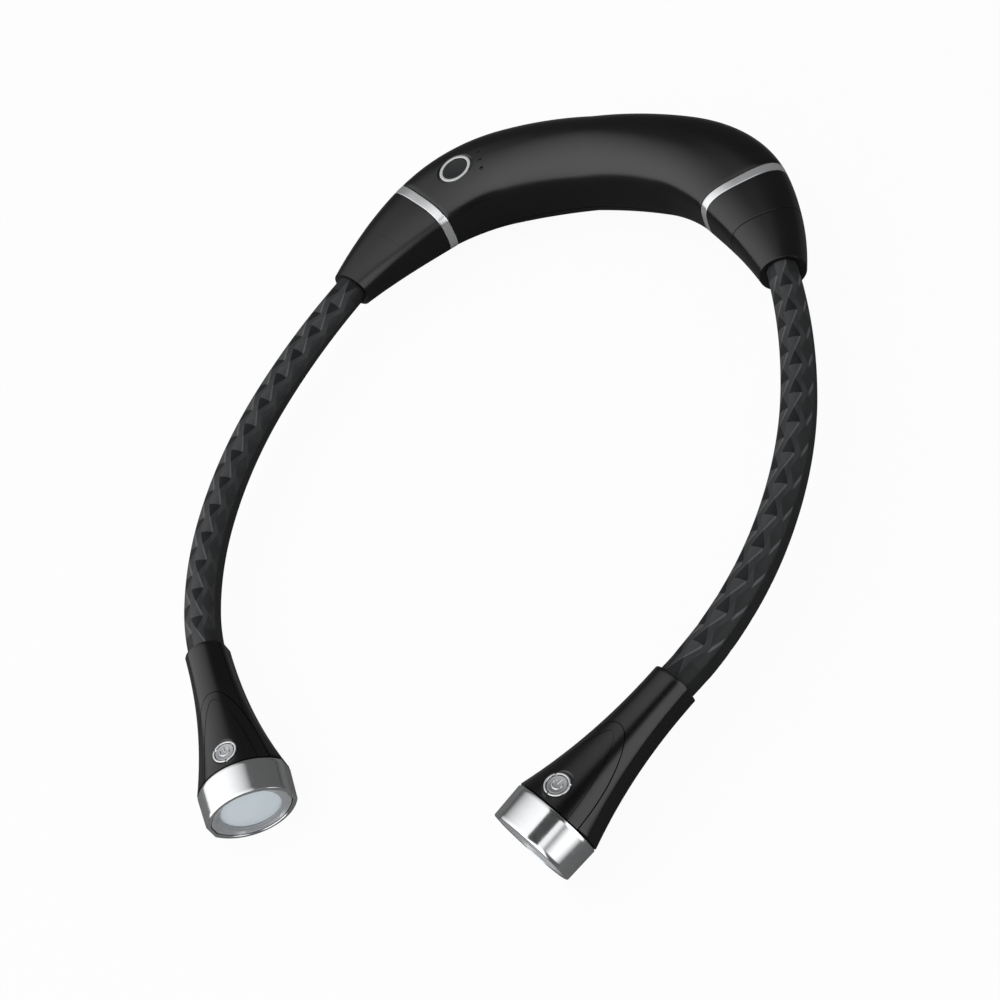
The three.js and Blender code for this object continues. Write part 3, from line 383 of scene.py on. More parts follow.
def ring_surface(
    name: str, rings: Array, closed: bool = True, diagonals: Array | None = None,
    pattern: tuple[Array, Array] | None = None,
) -> Any:
    """A closed surface through rings of points, in the order given.

    Args:
        name: The piece's name.
        rings: Points, rings x points x 3.
        closed: True where the last ring joins the first, as round a wall; otherwise a cap with a
            pole closes either end.
        diagonals: Where given, each patch is split in two: along 0-2 where true, else 1-3.
        pattern: Where given, the pattern coordinates at both edges of each patch, across and
            along, as rings x points x 2; otherwise they are millimetres around and along.

    Returns:
        The new object.
    """
    count, points = rings.shape[:2]
    rows = count if closed else count - 1
    row = np.arange(rows)[:, None]
    column = np.arange(points)[None, :]
    here, there = row * points, ((row + 1) % count) * points
    following = (column + 1) % points
    quads = np.stack([here + column, here + following, there + following, there + column], -1)
    wrapped = np.concatenate([rings, rings[:1]]) if closed else rings
    around = np.concatenate([rings, rings[:, :1]], 1)
    reach = np.linalg.norm(np.diff(around, axis=1), axis=-1).mean(0)
    u = np.concatenate([[0.0], np.cumsum(reach)])
    apart = np.linalg.norm(np.diff(wrapped, axis=0), axis=-1).mean(1)
    v = np.concatenate([[0.0], np.cumsum(apart)])
    across, along = pattern or (
        np.stack([u[:-1], u[1:]], -1)[None, :], np.stack([v[:-1], v[1:]], -1)[:, None])
    corners = ((0, 0), (1, 0), (1, 1), (0, 1))
    edges = [(across[..., i], along[:rows, :, j]) for i, j in corners]
    uv = np.stack([np.stack(np.broadcast_arrays(*edge), -1) for edge in edges], 2)
    if diagonals is not None:
        first = np.where(diagonals[..., None], [0, 1, 2], [0, 1, 3])
        second = np.where(diagonals[..., None], [0, 2, 3], [1, 2, 3])
        picks = np.stack([first, second], 2)
        faces = np.take_along_axis(quads[:, :, None, :].repeat(2, 2), picks, -1).reshape(-1, 3)
        uv_picks = picks[..., None].repeat(2, -1)
        corner_uv = np.take_along_axis(uv[:, :, None].repeat(2, 2), uv_picks, 3)
        all_faces: list[list[int]] = faces.tolist()
    else:
        corner_uv = uv
        all_faces = quads.reshape(-1, 4).tolist()
    flat_uv = corner_uv.reshape(-1, 2)
    vertices = rings.reshape(-1, 3)
    if not closed:
        poles = np.stack([rings[0].mean(0), rings[-1].mean(0)])
        vertices = np.concatenate([vertices, poles])
        total = count * points
        near = np.stack([column[0] * 0 + total, following[0], column[0]], -1)
        last = (count - 1) * points
        far = np.stack([column[0] * 0 + total + 1, last + column[0], last + following[0]], -1)
        all_faces += near.tolist() + far.tolist()
        cap_uv = np.zeros((points, 3, 2))
        cap_uv[:, 1, 0], cap_uv[:, 2, 0] = u[1:], u[:-1]
        flat_uv = np.concatenate([flat_uv, cap_uv.reshape(-1, 2), cap_uv.reshape(-1, 2)])
    return new_object(name, vertices, all_faces, flat_uv)


def turned(name: str, profile: Sequence[tuple[float, float]], matrix: Array, count: int = 96,
           closed: bool = False) -> Any:
    """A surface of revolution about a matrix's Z axis: (r cos a, r sin a, h) for each point.

    Args:
        name: The piece's name.
        profile: Points (radius, height), in order.
        matrix: Place and turn of the axis, 4 x 4.
        count: Points round the axis.
        closed: True for a ring, whose profile closes on itself.

    Returns:
        The new object.
    """
    angles = even_angles(count)
    radius, height = np.asarray(profile, float).T
    local = np.stack(np.broadcast_arrays(
        radius[:, None] * np.cos(angles), radius[:, None] * np.sin(angles), height[:, None]), -1)
    return ring_surface(name, moved(local, matrix), closed)


def moved(points: Array, matrix: Array) -> Array:
    """Points turned and moved by a 4 x 4 matrix."""
    return points @ matrix[:3, :3].T + matrix[:3, 3]


def standing(x: Sequence[float], z: Sequence[float], origin: Sequence[float]) -> Array:
    """The 4 x 4 matrix with the axes x, z cross x and z at a point."""
    matrix = np.eye(4)
    matrix[:3] = np.stack([x, np.cross(z, x), z, origin], -1)
    return matrix


def unit(vector: Sequence[float]) -> Array:
    """A vector's direction, with a length of one."""
    return np.asarray(vector, float) / np.linalg.norm(vector)


def prism(name: str, plan: Array, low: float, high: float, matrix: Array) -> Any:
    """A prism on a plan, between two heights of a matrix's frame."""
    rings = np.stack([np.insert(plan, 2, height, 1) for height in (low, high)])
    return ring_surface(name, moved(rings, matrix), False)


def slot_cutter(
    name: str, reach: tuple[float, float], half: float, levels: tuple[float, float], turn: float,
    matrix: Array,
) -> Any:
    """A square bar to cut a slot with, at a turn about a matrix's Z axis.

    Args:
        name: The piece's name.
        reach: Distances from the axis at which it starts and ends.
        half: Half its width.
        levels: Its lowest and its highest level.
        turn: Its turn about the axis, in radians.
        matrix: Place and turn of the axis.

    Returns:
        The new object.
    """
    near, far = reach
    plan = np.array([[far, half], [near, half], [near, -half], [far, -half]])
    return prism(name, spun(plan, turn), *levels, matrix)


def rounded(
    profile: Sequence[tuple[float, float]], radius: float, steps: int = 3,
) -> list[tuple[float, float]]:
    """Rounds the inner corners of an open profile with quadratic curves.

    Args:
        profile: Points of the profile.
        radius: Reach of each rounding on either side of its corner.
        steps: Steps of each curve.

    Returns:
        The rounded profile.
    """
    points = np.asarray(profile, float)
    done = [points[0]]
    for before, at, after in zip(points[:-2], points[1:-1], points[2:]):
        into, away = before - at, after - at
        reach = min(radius, np.linalg.norm(into) / 2.2, np.linalg.norm(away) / 2.2)
        start = at + into / max(np.linalg.norm(into), 1e-9) * reach
        end = at + away / max(np.linalg.norm(away), 1e-9) * reach
        for t in np.linspace(0.0, 1.0, steps + 1):
            done.append((1 - t) ** 2 * start + 2 * t * (1 - t) * at + t**2 * end)
    done.append(points[-1])
    return [(float(x), float(y)) for x, y in done]


def rounded_ring(profile: Sequence[tuple[float, float]], radius: float) -> list[tuple[float, float]]:
    """Rounds every corner of a profile that closes on itself."""
    loop = [profile[-1], *profile, profile[0]]
    return rounded(loop, radius)[1:-1]


def combine(piece: Any, operation: str, *tools: Any) -> Any:
    """Cuts a piece with others, or keeps what they share, and deletes those others.

    Args:
        piece: The object that is kept.
        operation: DIFFERENCE, INTERSECT or UNION.
        tools: Closed objects that work on it.

    Returns:
        The piece, with the result as its mesh.
    """
    for tool in tools:
        modifier = piece.modifiers.new("combine", "BOOLEAN")
        modifier.operation = operation
        modifier.object = tool
        for solver in ("MANIFOLD", "EXACT"):
            modifier.solver = solver
            graph = bpy.context.evaluated_depsgraph_get()
            result = bpy.data.meshes.new_from_object(piece.evaluated_get(graph))
            if result.polygons:
                break
        piece.modifiers.clear()
        old, piece.data = piece.data, result
        bpy.data.meshes.remove(old)
        used = tool.data
        bpy.data.objects.remove(tool)
        bpy.data.meshes.remove(used)
    smooth(piece.data)
    return piece


def join(name: str, pieces: Sequence[Any]) -> Any:
    """Makes one object of several, which are deleted."""
    vertices, faces, uvs, offset = [], [], [], 0
    for piece in pieces:
        mesh = piece.data
        vertices.append(points_of(mesh) / MM)
        faces += [[offset + i for i in polygon.vertices] for polygon in mesh.polygons]
        uv = np.zeros(len(mesh.loops) * 2)
        mesh.uv_layers[0].data.foreach_get("uv", uv)
        uvs.append(uv.reshape(-1, 2))
        offset += len(mesh.vertices)
        bpy.data.objects.remove(piece)
        bpy.data.meshes.remove(mesh)
    return new_object(name, np.concatenate(vertices), faces, np.concatenate(uvs))


# Finishes


def linear(colour: str) -> tuple[float, float, float, float]:
    """An sRGB hex colour as linear red, green and blue with full alpha."""
    values = [int(colour[i : i + 2], 16) / 255.0 for i in (1, 3, 5)]
    red, green, blue = (v / 12.92 if v <= 0.04045 else ((v + 0.055) / 1.055) ** 2.4 for v in values)
    return red, green, blue, 1.0


def grey(tone: float) -> tuple[float, float, float, float]:
    """A grey of a linear tone."""
    return tone, tone, tone, 1.0


def add_node(tree: Any, kind: str, inputs: dict[Any, Any] | None = None, **settings: Any) -> Any:
    """Adds a node with its settings, values and links.

    Args:
        tree: The node tree.
        kind: Blender's name of the node's type.
        inputs: For each input, by name or number, a value or the output that feeds it.
        settings: The node's own properties.

    Returns:
        The new node.
    """
    node = tree.nodes.new(kind)
    for key, value in settings.items():
        setattr(node, key, value)
    for key, value in (inputs or {}).items():
        if isinstance(value, bpy.types.NodeSocket):
            tree.links.new(value, node.inputs[key])
        else:
            node.inputs[key].default_value = value
    return node


def per_metre(size_mm: float) -> float:
    """Scale of a pattern whose features are as big as asked for, on coordinates in metres."""
    return 1.0 / (size_mm * MM)


def blended(tree: Any, factor: Any, low: str, high: str) -> Any:
    """The output of a mix of two sRGB colours by a factor."""
    colours = {0: factor, 6: linear(low), 7: linear(high)}
    return add_node(tree, "ShaderNodeMix", colours, data_type="RGBA").outputs[2]


def mixed(tree: Any, factor: Any, low: Any, high: Any) -> Any:
    """The output of a mix of two numbers by a factor."""
    return add_node(tree, "ShaderNodeMix", {0: factor, 2: low, 3: high}).outputs[0]


def ranged(
    tree: Any, value: Any, low: float, high: float, start: float = 0.3, end: float = 0.7,
) -> Any:
    """The output that takes a value from start and end to low and high, and stops there."""
    inputs = {"Value": value, "From Min": start, "From Max": end, "To Min": low, "To Max": high}
    return add_node(tree, "ShaderNodeMapRange", inputs).outputs["Result"]


def calculated(tree: Any, operation: str, *values: Any) -> Any:
    """The output of a math node on numbers and outputs."""
    return add_node(tree, "ShaderNodeMath", dict(enumerate(values)), operation=operation).outputs[0]


def in_part(tree: Any) -> Any:
    """The coordinates of patterns, in metres in the part's frame."""
    return add_node(tree, "ShaderNodeTexCoord").outputs["Object"]


def noise(tree: Any, size_mm: float, detail: float, **inputs: float) -> Any:
    """The output of a noise whose features have a size in millimetres."""
    return add_node(tree, "ShaderNodeTexNoise", {
        "Vector": in_part(tree), "Scale": per_metre(size_mm), "Detail": detail, **inputs,
    }).outputs[0]


def raise_by(tree: Any, shader: Any, height: Any, strength: float, depth: float) -> None:
    """Lets a pattern raise a shader's surface, by a depth in millimetres."""
    inputs = {"Strength": strength, "Distance": depth * MM, "Height": height}
    bump = add_node(tree, "ShaderNodeBump", inputs)
    tree.links.new(bump.outputs[0], shader.inputs["Normal"])


def empty_tree(owner: Any) -> Any:
    """The node tree of a material or a world, emptied."""
    owner.use_nodes = True
    owner.node_tree.nodes.clear()
    return owner.node_tree


@dataclass(frozen=True)
class Finish:
    """A material by its common name, how its surface was made, and its record slot.

    The sizes and depths of all patterns are in millimetres.
    """

    name: str
    slot: str
    light: str
    dark: str
    roughness: tuple[float, float]
    metallic: float = 0.0
    specular: float = 0.5

    def dress(self, tree: Any, shader: Any) -> None:
        """Adds the finish's own detail to a shader that has its plain values."""
        raise NotImplementedError

    def paint(self, tree: Any, shader: Any, tone: Any, gloss: Any, *span: float) -> None:
        """Mixes the two colours by one pattern and the two roughnesses by another."""
        tree.links.new(blended(tree, tone, self.dark, self.light), shader.inputs["Base Color"])
        tree.links.new(ranged(tree, gloss, *self.roughness, *span), shader.inputs["Roughness"])

    def material(self) -> Any:
        """The finish as a Blender material, made the first time that it is asked for."""
        made = bpy.data.materials.get(self.name)
        if made is None:
            made = bpy.data.materials.new(self.name)
            tree = empty_tree(made)
            shader = add_node(tree, "ShaderNodeBsdfPrincipled", {
                "Base Color": linear(self.light), "Metallic": self.metallic,
                "Roughness": sum(self.roughness) / 2, "Specular IOR Level": self.specular,
            })
            add_node(tree, "ShaderNodeOutputMaterial", {"Surface": shader.outputs[0]})
            self.dress(tree, shader)
        return made

    def coat(self, piece: Any) -> None:
        """Gives a piece this finish and no other."""
        piece.data.materials.clear()
        piece.data.materials.append(self.material())


@dataclass(frozen=True)
class MouldedPlastic(Finish):
    """Black ABS from a spark-eroded mould: a fine even grain that softens every highlight."""

    cloud: float = 26.0
    cloud_contrast: float = 0.55
    grain: float = 0.45
    grain_strength: float = 0.35
    grain_depth: float = 0.012

    def dress(self, tree: Any, shader: Any) -> None:
        """Adds mould grain as bump, and faint cloudy handling marks in tone and gloss."""
        clouds = noise(tree, self.cloud, 4.0, Roughness=self.cloud_contrast)
        self.paint(tree, shader, clouds, clouds)
        grain = noise(tree, self.grain, 2.0)
        raise_by(tree, shader, grain, self.grain_strength, self.grain_depth)


@dataclass(frozen=True)
class SiliconeRubber(Finish):
    """Black moulded silicone whose pyramids carry painted shading: a painted lit and a painted
    shaded end face, painted shades on the side faces, and painted highlights along one diagonal and
    in a strip on the side column.

    Tones run from 0 to 1, and places in a cell from -1 to 1.
    """

    # Painted shading tones: the lit and the shaded end face, the two side faces, one even tone for
    # the side column, and the highlights along the diagonal and in the side strip.
    satin: float = 0.45
    painted_shaded_end: float = 0.06
    painted_side_shades: tuple[float, float] = (0.3, 0.36)
    outer: float = 0.22
    plain: float = 0.14
    spread: float = 0.86
    painted_ridge_highlight: float = 0.5
    ridge_width: tuple[float, float] = (0.26, 0.08)
    ridge_narrows: tuple[float, float] = (-1.0, 0.2)
    ridge_fade: tuple[float, float] = (0.4, 1.0)
    painted_sliver_highlight: float = 0.8
    sliver_start: tuple[float, float] = (-0.9, -0.7)
    sliver_end: tuple[float, float] = (-0.1, 0.1)
    sliver_fade: tuple[float, float] = (0.12, 0.26)
    # Specular level, which rises with the painted shading tone.
    gloss: tuple[float, float] = (0.12, 0.5)
    film: float = 9.0
    film_contrast: float = 0.6
    dust: float = 0.03
    grain: float = 0.3
    grain_strength: float = 0.3
    grain_depth: float = 0.015

    def painted_facet_tones(self, tree: Any) -> Any:
        """Painted shading of each face of a pyramid, from the UV map in cells.

        With (x, y) running from -1 to 1 across a cell, the end faces lie where |y| > |x|: the
        one with y < 0 gets a painted lit tone and the other a painted shaded tone, and the two side
        faces get painted shades of their own. A painted highlight runs along the diagonal x = y,
        wider towards the corner where both are below zero. The first column, on the side, gets one
        even painted shade, apart from a thin painted highlight towards that corner.

        Args:
            tree: The node tree.

        Returns:
            The output with the tone.
        """
        calc, mix, span = (partial(make, tree) for make in (calculated, mixed, ranged))
        uv = add_node(tree, "ShaderNodeUVMap").outputs[0]
        column, row = add_node(tree, "ShaderNodeSeparateXYZ", {0: uv}).outputs[:2]
        x, y = (calc("MULTIPLY_ADD", calc("FRACT", place), 2.0, -1.0) for place in (column, row))
        in_cells = calc("GREATER_THAN", calc("MINIMUM", column, row), -0.5)
        on_side = calc("LESS_THAN", column, 1.0)
        limit = calc("MULTIPLY", calc("ABSOLUTE", x), self.spread)
        is_end = calc("GREATER_THAN", calc("ABSOLUTE", y), limit)
        # End faces: a painted lit tone where y < 0 and a painted shaded tone on the other end.
        end = calc("MULTIPLY_ADD", calc("LESS_THAN", y, 0.0), self.satin - self.painted_shaded_end, self.painted_shaded_end)
        # Side faces: a painted shade for each of the two.
        left, right = self.painted_side_shades
        side = calc("MULTIPLY_ADD", calc("LESS_THAN", x, 0.0), left - right, right)
        # The side column takes one even painted shade in place of its end faces.
        face = mix(is_end, side, mix(on_side, end, self.outer))
        # Painted highlights: along the diagonal x = y, and a thin strip on the side column.
        near = calc("ABSOLUTE", calc("SUBTRACT", x, y))
        reach = span(x, *self.ridge_width, *self.ridge_narrows)
        soft = span(calc("DIVIDE", near, reach), 1.0, 0.0, *self.ridge_fade)
        painted_ridge_highlight = calc("MULTIPLY", soft, self.painted_ridge_highlight)
        begun, ended = span(x, 0.0, 1.0, *self.sliver_start), span(x, 1.0, 0.0, *self.sliver_end)
        run = calc("MULTIPLY", begun, ended)
        painted_sliver_highlight = calc("MULTIPLY", run, span(near, self.painted_sliver_highlight, 0.0, *self.sliver_fade))
        return mix(in_cells, self.plain, calc("ADD", face, mix(on_side, painted_ridge_highlight, painted_sliver_highlight)))

    def dress(self, tree: Any, shader: Any) -> None:
        """Gives each face its painted shading and a specular level that follows it, under a film
        of dust and a fine dull grain.
        """
        film = noise(tree, self.film, 5.0, Roughness=self.film_contrast)
        dust = ranged(tree, film, -self.dust, self.dust)
        # The tone is the painted shading of the faces plus a faint film of dust.
        inputs = {0: self.painted_facet_tones(tree), 1: dust}
        tone = add_node(tree, "ShaderNodeMath", inputs, operation="ADD", use_clamp=True).outputs[0]
        self.paint(tree, shader, tone, film)
        # The specular level follows the painted shading.
        gloss = ranged(tree, tone, *self.gloss, 0.0, 1.0)
        tree.links.new(gloss, shader.inputs["Specular IOR Level"])
        raise_by(tree, shader, noise(tree, self.grain, 2.0), self.grain_strength, self.grain_depth)


@dataclass(frozen=True)
class BrushedMetal(Finish):
    """Steel or aluminium with brush lines that run round the piece and spread its highlights."""

    line: float = 0.12
    stretch: float = 60.0
    line_contrast: float = 0.6
    line_strength: float = 0.4
    depth: float = 0.004

    def dress(self, tree: Any, shader: Any) -> None:
        """Adds brush lines from the UV map, long around the piece and thin along it."""
        spot = add_node(tree, "ShaderNodeMapping", {
            "Vector": add_node(tree, "ShaderNodeUVMap").outputs[0],
            "Scale": (1.0 / self.stretch / self.line, 1.0 / self.line, 1.0),
        }).outputs[0]
        lines = add_node(tree, "ShaderNodeTexNoise", {
            "Vector": spot, "Scale": 1.0, "Detail": 3.0, "Roughness": self.line_contrast,
        }).outputs[0]
        self.paint(tree, shader, lines, lines)
        raise_by(tree, shader, lines, self.line_strength, self.depth)


@dataclass(frozen=True)
class TurnedMetal(Finish):
    """Bare machined steel of the inner parts: fine noise from the tool, and soft gloss."""

    grain: float = 0.5

    def dress(self, tree: Any, shader: Any) -> None:
        """Adds fine tool marks on coordinates of the part's frame."""
        lines = noise(tree, self.grain, 3.0)
        self.paint(tree, shader, lines, lines)


@dataclass(frozen=True)
class FrostedLens(Finish):
    """Opal polycarbonate, etched on its front: milky, cool white, lit a little from within."""

    milk: float = 7.0
    milk_share: float = 0.25
    milk_depth: float = 0.8
    grain: float = 0.35
    grain_strength: float = 0.25
    grain_depth: float = 0.01
    glow: float = 0.0

    def dress(self, tree: Any, shader: Any) -> None:
        """Adds etched grain, a faint milky depth and a soft glow under the surface."""
        grain = noise(tree, self.grain, 2.0)
        self.paint(tree, shader, noise(tree, self.milk, 3.0), grain)
        raise_by(tree, shader, grain, self.grain_strength, self.grain_depth)
        values = {
            "Subsurface Weight": self.milk_share, "Subsurface Radius": (1.0, 1.0, 1.0),
            "Subsurface Scale": self.milk_depth * MM, "Emission Color": linear(self.light),
            "Emission Strength": self.glow,
        }
        for key, value in values.items():
            shader.inputs[key].default_value = value


@dataclass(frozen=True)
class SolderMask(Finish):
    """Green solder mask over glass-fibre board, with pale tracks."""

    track: float = 1.6
    track_edge: tuple[float, float] = (0.32, 0.4)
    track_strength: float = 0.3
    track_depth: float = 0.03

    def dress(self, tree: Any, shader: Any) -> None:
        """Adds tracks as the edges of square cells, raised under the lacquer."""
        cells = add_node(tree, "ShaderNodeTexVoronoi", {
            "Vector": in_part(tree), "Scale": per_metre(self.track),
        }, distance="CHEBYCHEV", feature="F1")
        tracks = ranged(tree, cells.outputs["Distance"], 0.0, 1.0, *self.track_edge)
        self.paint(tree, shader, tracks, tracks, 0.0, 1.0)
        raise_by(tree, shader, tracks, self.track_strength, self.track_depth)


@dataclass(frozen=True)
class ThinFilm(Finish):
    """Shrunk PVC film or wire jacket: glossy, with faint long wrinkles."""

    wrinkle: float = 5.0
    wrinkle_strength: float = 0.3
    wrinkle_depth: float = 0.06
    pull: float = 0.6

    def dress(self, tree: Any, shader: Any) -> None:
        """Adds long soft wrinkles in tone and height."""
        folds = noise(tree, self.wrinkle, 2.0, Distortion=self.pull)
        self.paint(tree, shader, folds, folds)
        raise_by(tree, shader, folds, self.wrinkle_strength, self.wrinkle_depth)


BLACK_ABS = MouldedPlastic(
    "black_abs_fine_grain", "body_plastic", "#131315", "#0e0e10", (0.2, 0.26), specular=0.55)
BUTTON_ABS = MouldedPlastic(
    "black_abs_button", "body_plastic", "#18191b", "#121315", (0.4, 0.48), specular=0.4)
SWITCH_PLASTIC = MouldedPlastic(
    "switch_nylon", "switch_plastic", "#2f3033", "#232427", (0.45, 0.55))
CONTACT_PLASTIC = MouldedPlastic(
    "contact_carrier_nylon", "switch_plastic", "#26272a", "#1c1d1f", (0.4, 0.5))
# The painted highlight strip on the side column is faint on the left arm and bright on the right.
SILICONE = {
    side: SiliconeRubber(
        f"black_silicone_{side.value}", "silicone", "#5a5b5d", "#18191a", (0.42, 0.5), painted_sliver_highlight=sliver_highlight_tone)
    for side, sliver_highlight_tone in ((Side.LEFT, 0.12), (Side.RIGHT, 0.8))
}
BAND_STEEL = BrushedMetal(
    "satin_steel_brushed_lines", "polished_steel", "#f2f3f4", "#dadcde", (0.14, 0.22), 0.7)
CHROME_STEEL = BrushedMetal(
    "polished_steel_brushed_lines", "polished_steel", "#f0f1f2", "#dcdee0", (0.1, 0.17), 0.92)
SATIN_BEZEL = BrushedMetal(
    "satin_aluminium_bezel", "bezel_metal", "#cfd1d3", "#aeb0b3", (0.34, 0.46), 0.45,
    line=0.16, depth=0.008)
BUTTON_METAL = BrushedMetal(
    "brushed_aluminium_button", "polished_steel", "#cfd1d3", "#aeb0b3", (0.25, 0.38), 1.0,
    line=0.14)
GOOSENECK_STEEL = TurnedMetal(
    "spring_steel_bare", "gooseneck_steel", "#b4b6b8", "#8e9092", (0.28, 0.42), 1.0)
CONNECTOR_STEEL = TurnedMetal(
    "nickel_plated_steel", "polished_steel", "#c8c8c4", "#a9a9a5", (0.2, 0.32), 1.0)
OPAL_LENS = FrostedLens(
    "opal_polycarbonate_etched", "diffuser", "#e4edf3", "#d6e2e9", (0.42, 0.55), glow=0.05)
LIGHT_GUIDE = FrostedLens("smoked_light_guide", "diffuser", "#3a3d40", "#2c2f31", (0.3, 0.45))
CIRCUIT = SolderMask("green_solder_mask", "circuit_board", "#1f5a3a", "#4f8a5c", (0.3, 0.45))
CELL_WRAP = ThinFilm("blue_pvc_shrink_wrap", "cell_wrap", "#3372ad", "#2a639a", (0.3, 0.42))
WIRE_JACKET = ThinFilm(
    "red_silicone_wire_jacket", "wire_jacket", "#8a2323", "#6d1a1a", (0.45, 0.58), wrinkle=3.0)

CAD_FINISHES = {
    "gooseneck_link": GOOSENECK_STEEL,
    "main_board": CIRCUIT,
    "head_board": CIRCUIT,
    "led_board": CIRCUIT,
    "power_switch": SWITCH_PLASTIC,
    "head_switch": SWITCH_PLASTIC,
    "battery_cell": CELL_WRAP,
    "battery_lead": WIRE_JACKET,
    "indicator_light_guide": LIGHT_GUIDE,
}


def settle(piece: Any, finish: Finish, body: str | None, *nodes: str) -> None:
    """Gives a piece its finish, lets it ride on its body and stand for its CAD nodes.

    Args:
        piece: The object.
        finish: Its finish.
        body: The body that it rides on, or None where it rides on none.
        nodes: The CAD nodes that it stands for.
    """
    finish.coat(piece)
    if body is not None:
        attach(piece, body)
    if nodes:
        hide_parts(*nodes)
    log.info("%s: %d faces", piece.name, len(piece.data.polygons))


# Push buttons


@dataclass(frozen=True)
class PushButton:
    """Sizes of a push button in its metal ring, set into a wall, as in the CAD source."""

    cap: float
    cap_rise: float
    ring: float
    ring_rise: float
    ring_depth: float
    spot: float
    spot_depth: float
    flange: float
    flange_height: float
    travel: float
    stem: float
    stem_drop: float
    boss: float
    floor: float
    ring_edge: float
    cap_edge: float
    cap_dish: float

    @property
    def ring_seat(self) -> float:
        """Depth of the ledge that the ring sits on."""
        return self.ring_depth + CLEARANCE

    @property
    def seat_floor(self) -> float:
        """Depth of the floor under the button's flange."""
        return self.ring_seat + self.flange_height + self.travel + CLEARANCE

    def hole(self, matrix: Array) -> Any:
        """The stepped hole that the button sits in, with a bevelled rim."""
        lip, drop, high = 0.25, 0.06, 4.0
        below = self.seat_floor + self.floor + 2.0
        return turned("button_hole", [
            (0.0, high), (self.spot + lip + high, high), (self.spot + lip, drop),
            (self.spot - lip, -self.spot_depth),
            (self.ring + FIT, -self.spot_depth), (self.ring + FIT, -self.ring_seat),
            (self.flange + FIT, -self.ring_seat), (self.flange + FIT, -self.seat_floor),
            (self.stem + CLEARANCE, -self.seat_floor), (self.stem + CLEARANCE, -below),
            (0.0, -below),
        ], matrix)

    def boss_bar(self, matrix: Array) -> Any:
        """The round boss under the hole, before it is cut to the wall."""
        low, high = -self.seat_floor - self.floor, -self.spot_depth - FIT
        return turned("button_boss", [(self.boss, low), (self.boss, high)], matrix)

    def ring_piece(self, name: str, matrix: Array) -> Any:
        """The metal ring, with a rounded top and a rounded inner edge."""
        inner = self.cap + FIT
        profile = rounded_ring([
            (inner, -self.ring_depth), (self.ring, -self.ring_depth), (self.ring, self.ring_rise),
            (inner, self.ring_rise),
        ], self.ring_edge)
        return turned(name, profile, matrix, 128, closed=True)

    def cap_piece(self, name: str, matrix: Array) -> Any:
        """The cap: a shallow dish z = rise - dish (1 - (r/R)^2) with a rounded edge, and its stem.

        Args:
            name: The piece's name.
            matrix: Place and turn of the button.

        Returns:
            The new object.
        """
        reach, foot = self.cap - self.cap_edge, self.ring_seat + self.flange_height
        radii = np.linspace(AXIS, reach, 14)
        top = zip(radii, self.cap_rise - self.cap_dish * (1 - (radii / reach) ** 2))
        side = rounded([
            (reach, self.cap_rise), (self.cap, self.cap_rise), (self.cap, -self.ring_seat),
        ], self.cap_edge, 5)[1:]
        rest = [
            (self.flange, -self.ring_seat), (self.flange, -foot), (self.stem, -foot),
            (self.stem, -foot - self.stem_drop),
        ]
        return turned(name, [*top, *side, *rest], matrix)


POWER_BUTTON = PushButton(
    cap=4.3, cap_rise=0.05, ring=5.55, ring_rise=0.15, ring_depth=1.0, spot=6.3, spot_depth=0.3,
    flange=4.9, flange_height=0.5, travel=0.5, stem=1.6, stem_drop=2.3, boss=6.9, floor=1.0,
    ring_edge=0.07, cap_edge=0.3, cap_dish=0.22)
HEAD_BUTTON = PushButton(
    cap=2.6, cap_rise=0.1, ring=3.4, ring_rise=0.2, ring_depth=0.7, spot=4.2, spot_depth=0.3,
    flange=3.0, flange_height=0.4, travel=0.4, stem=1.2, stem_drop=1.9, boss=4.4, floor=0.8,
    ring_edge=0.16, cap_edge=0.2, cap_dish=0.1)


# Housing


@dataclass(frozen=True)
class BodyForm:
    """The outside of the housing and of the tapered ends, as in the CAD source."""

    middle: tuple[float, float, float] = (14.0, 14.9, 2.2)
    band: tuple[float, float, float] = (14.35, 9.2, 3.2)
    end: tuple[float, float, float] = (7.0, 6.4, 2.1)
    swell: float = 1.1
    taper: float = 1.2

    def section(self, places: Array) -> tuple[Array, Array, Array]:
        """Half width, half height and squareness of the section at each place.

        The housing eases from its middle to the band on a sine, with a swell of
        1.1 sin(pi share^2) at the shoulder; the ends taper on a power of the distance.

        Args:
            places: Signed distances along the loop.

        Returns:
            The three values at each place.
        """
        distance = np.abs(places)
        share = np.clip(distance / LOOP.housing_end, 0.0, 1.0)
        beyond = (distance - LOOP.housing_end) / (LOOP.boot_end - LOOP.housing_end)
        beyond = np.clip(beyond, 0.0, 1.0) ** self.taper
        inside = distance <= LOOP.housing_end
        rise = np.cos(np.pi / 2.0 * share)
        (mw, mh, mn), (bw, bh, bn), (ew, eh, en) = self.middle, self.band, self.end
        width = np.where(inside, mw + (bw - mw) * share + self.swell * np.sin(np.pi * share**2),
                         bw + (ew - bw) * beyond)
        height = np.where(inside, bh + (mh - bh) * rise, bh + (eh - bh) * beyond)
        power = np.where(inside, mn + (bn - mn) * share, bn + (en - bn) * beyond)
        return width, height, power

    def outlines(self, places: Array, insets: Array | float, angles: Array) -> Array:
        """Superellipse outlines at places, drawn in by insets."""
        width, height, power = self.section(places)
        return superellipse(angles, width - insets, height - insets, power)

    def top(self, place: float, across: float) -> float:
        """Height of the wall's outside over the arm plane, b (1 - |x/a|^n)^(1/n)."""
        width, height, power = (float(v[0]) for v in self.section(np.array([place])))
        return height * (1.0 - abs(across / width) ** power) ** (1.0 / power)

    def side(self, place: float, height: float) -> float:
        """Distance of the wall's outside from the loop at a height."""
        width, high, power = (float(v[0]) for v in self.section(np.array([place])))
        return width * (1.0 - abs(height / high) ** power) ** (1.0 / power)


FORM = BodyForm()


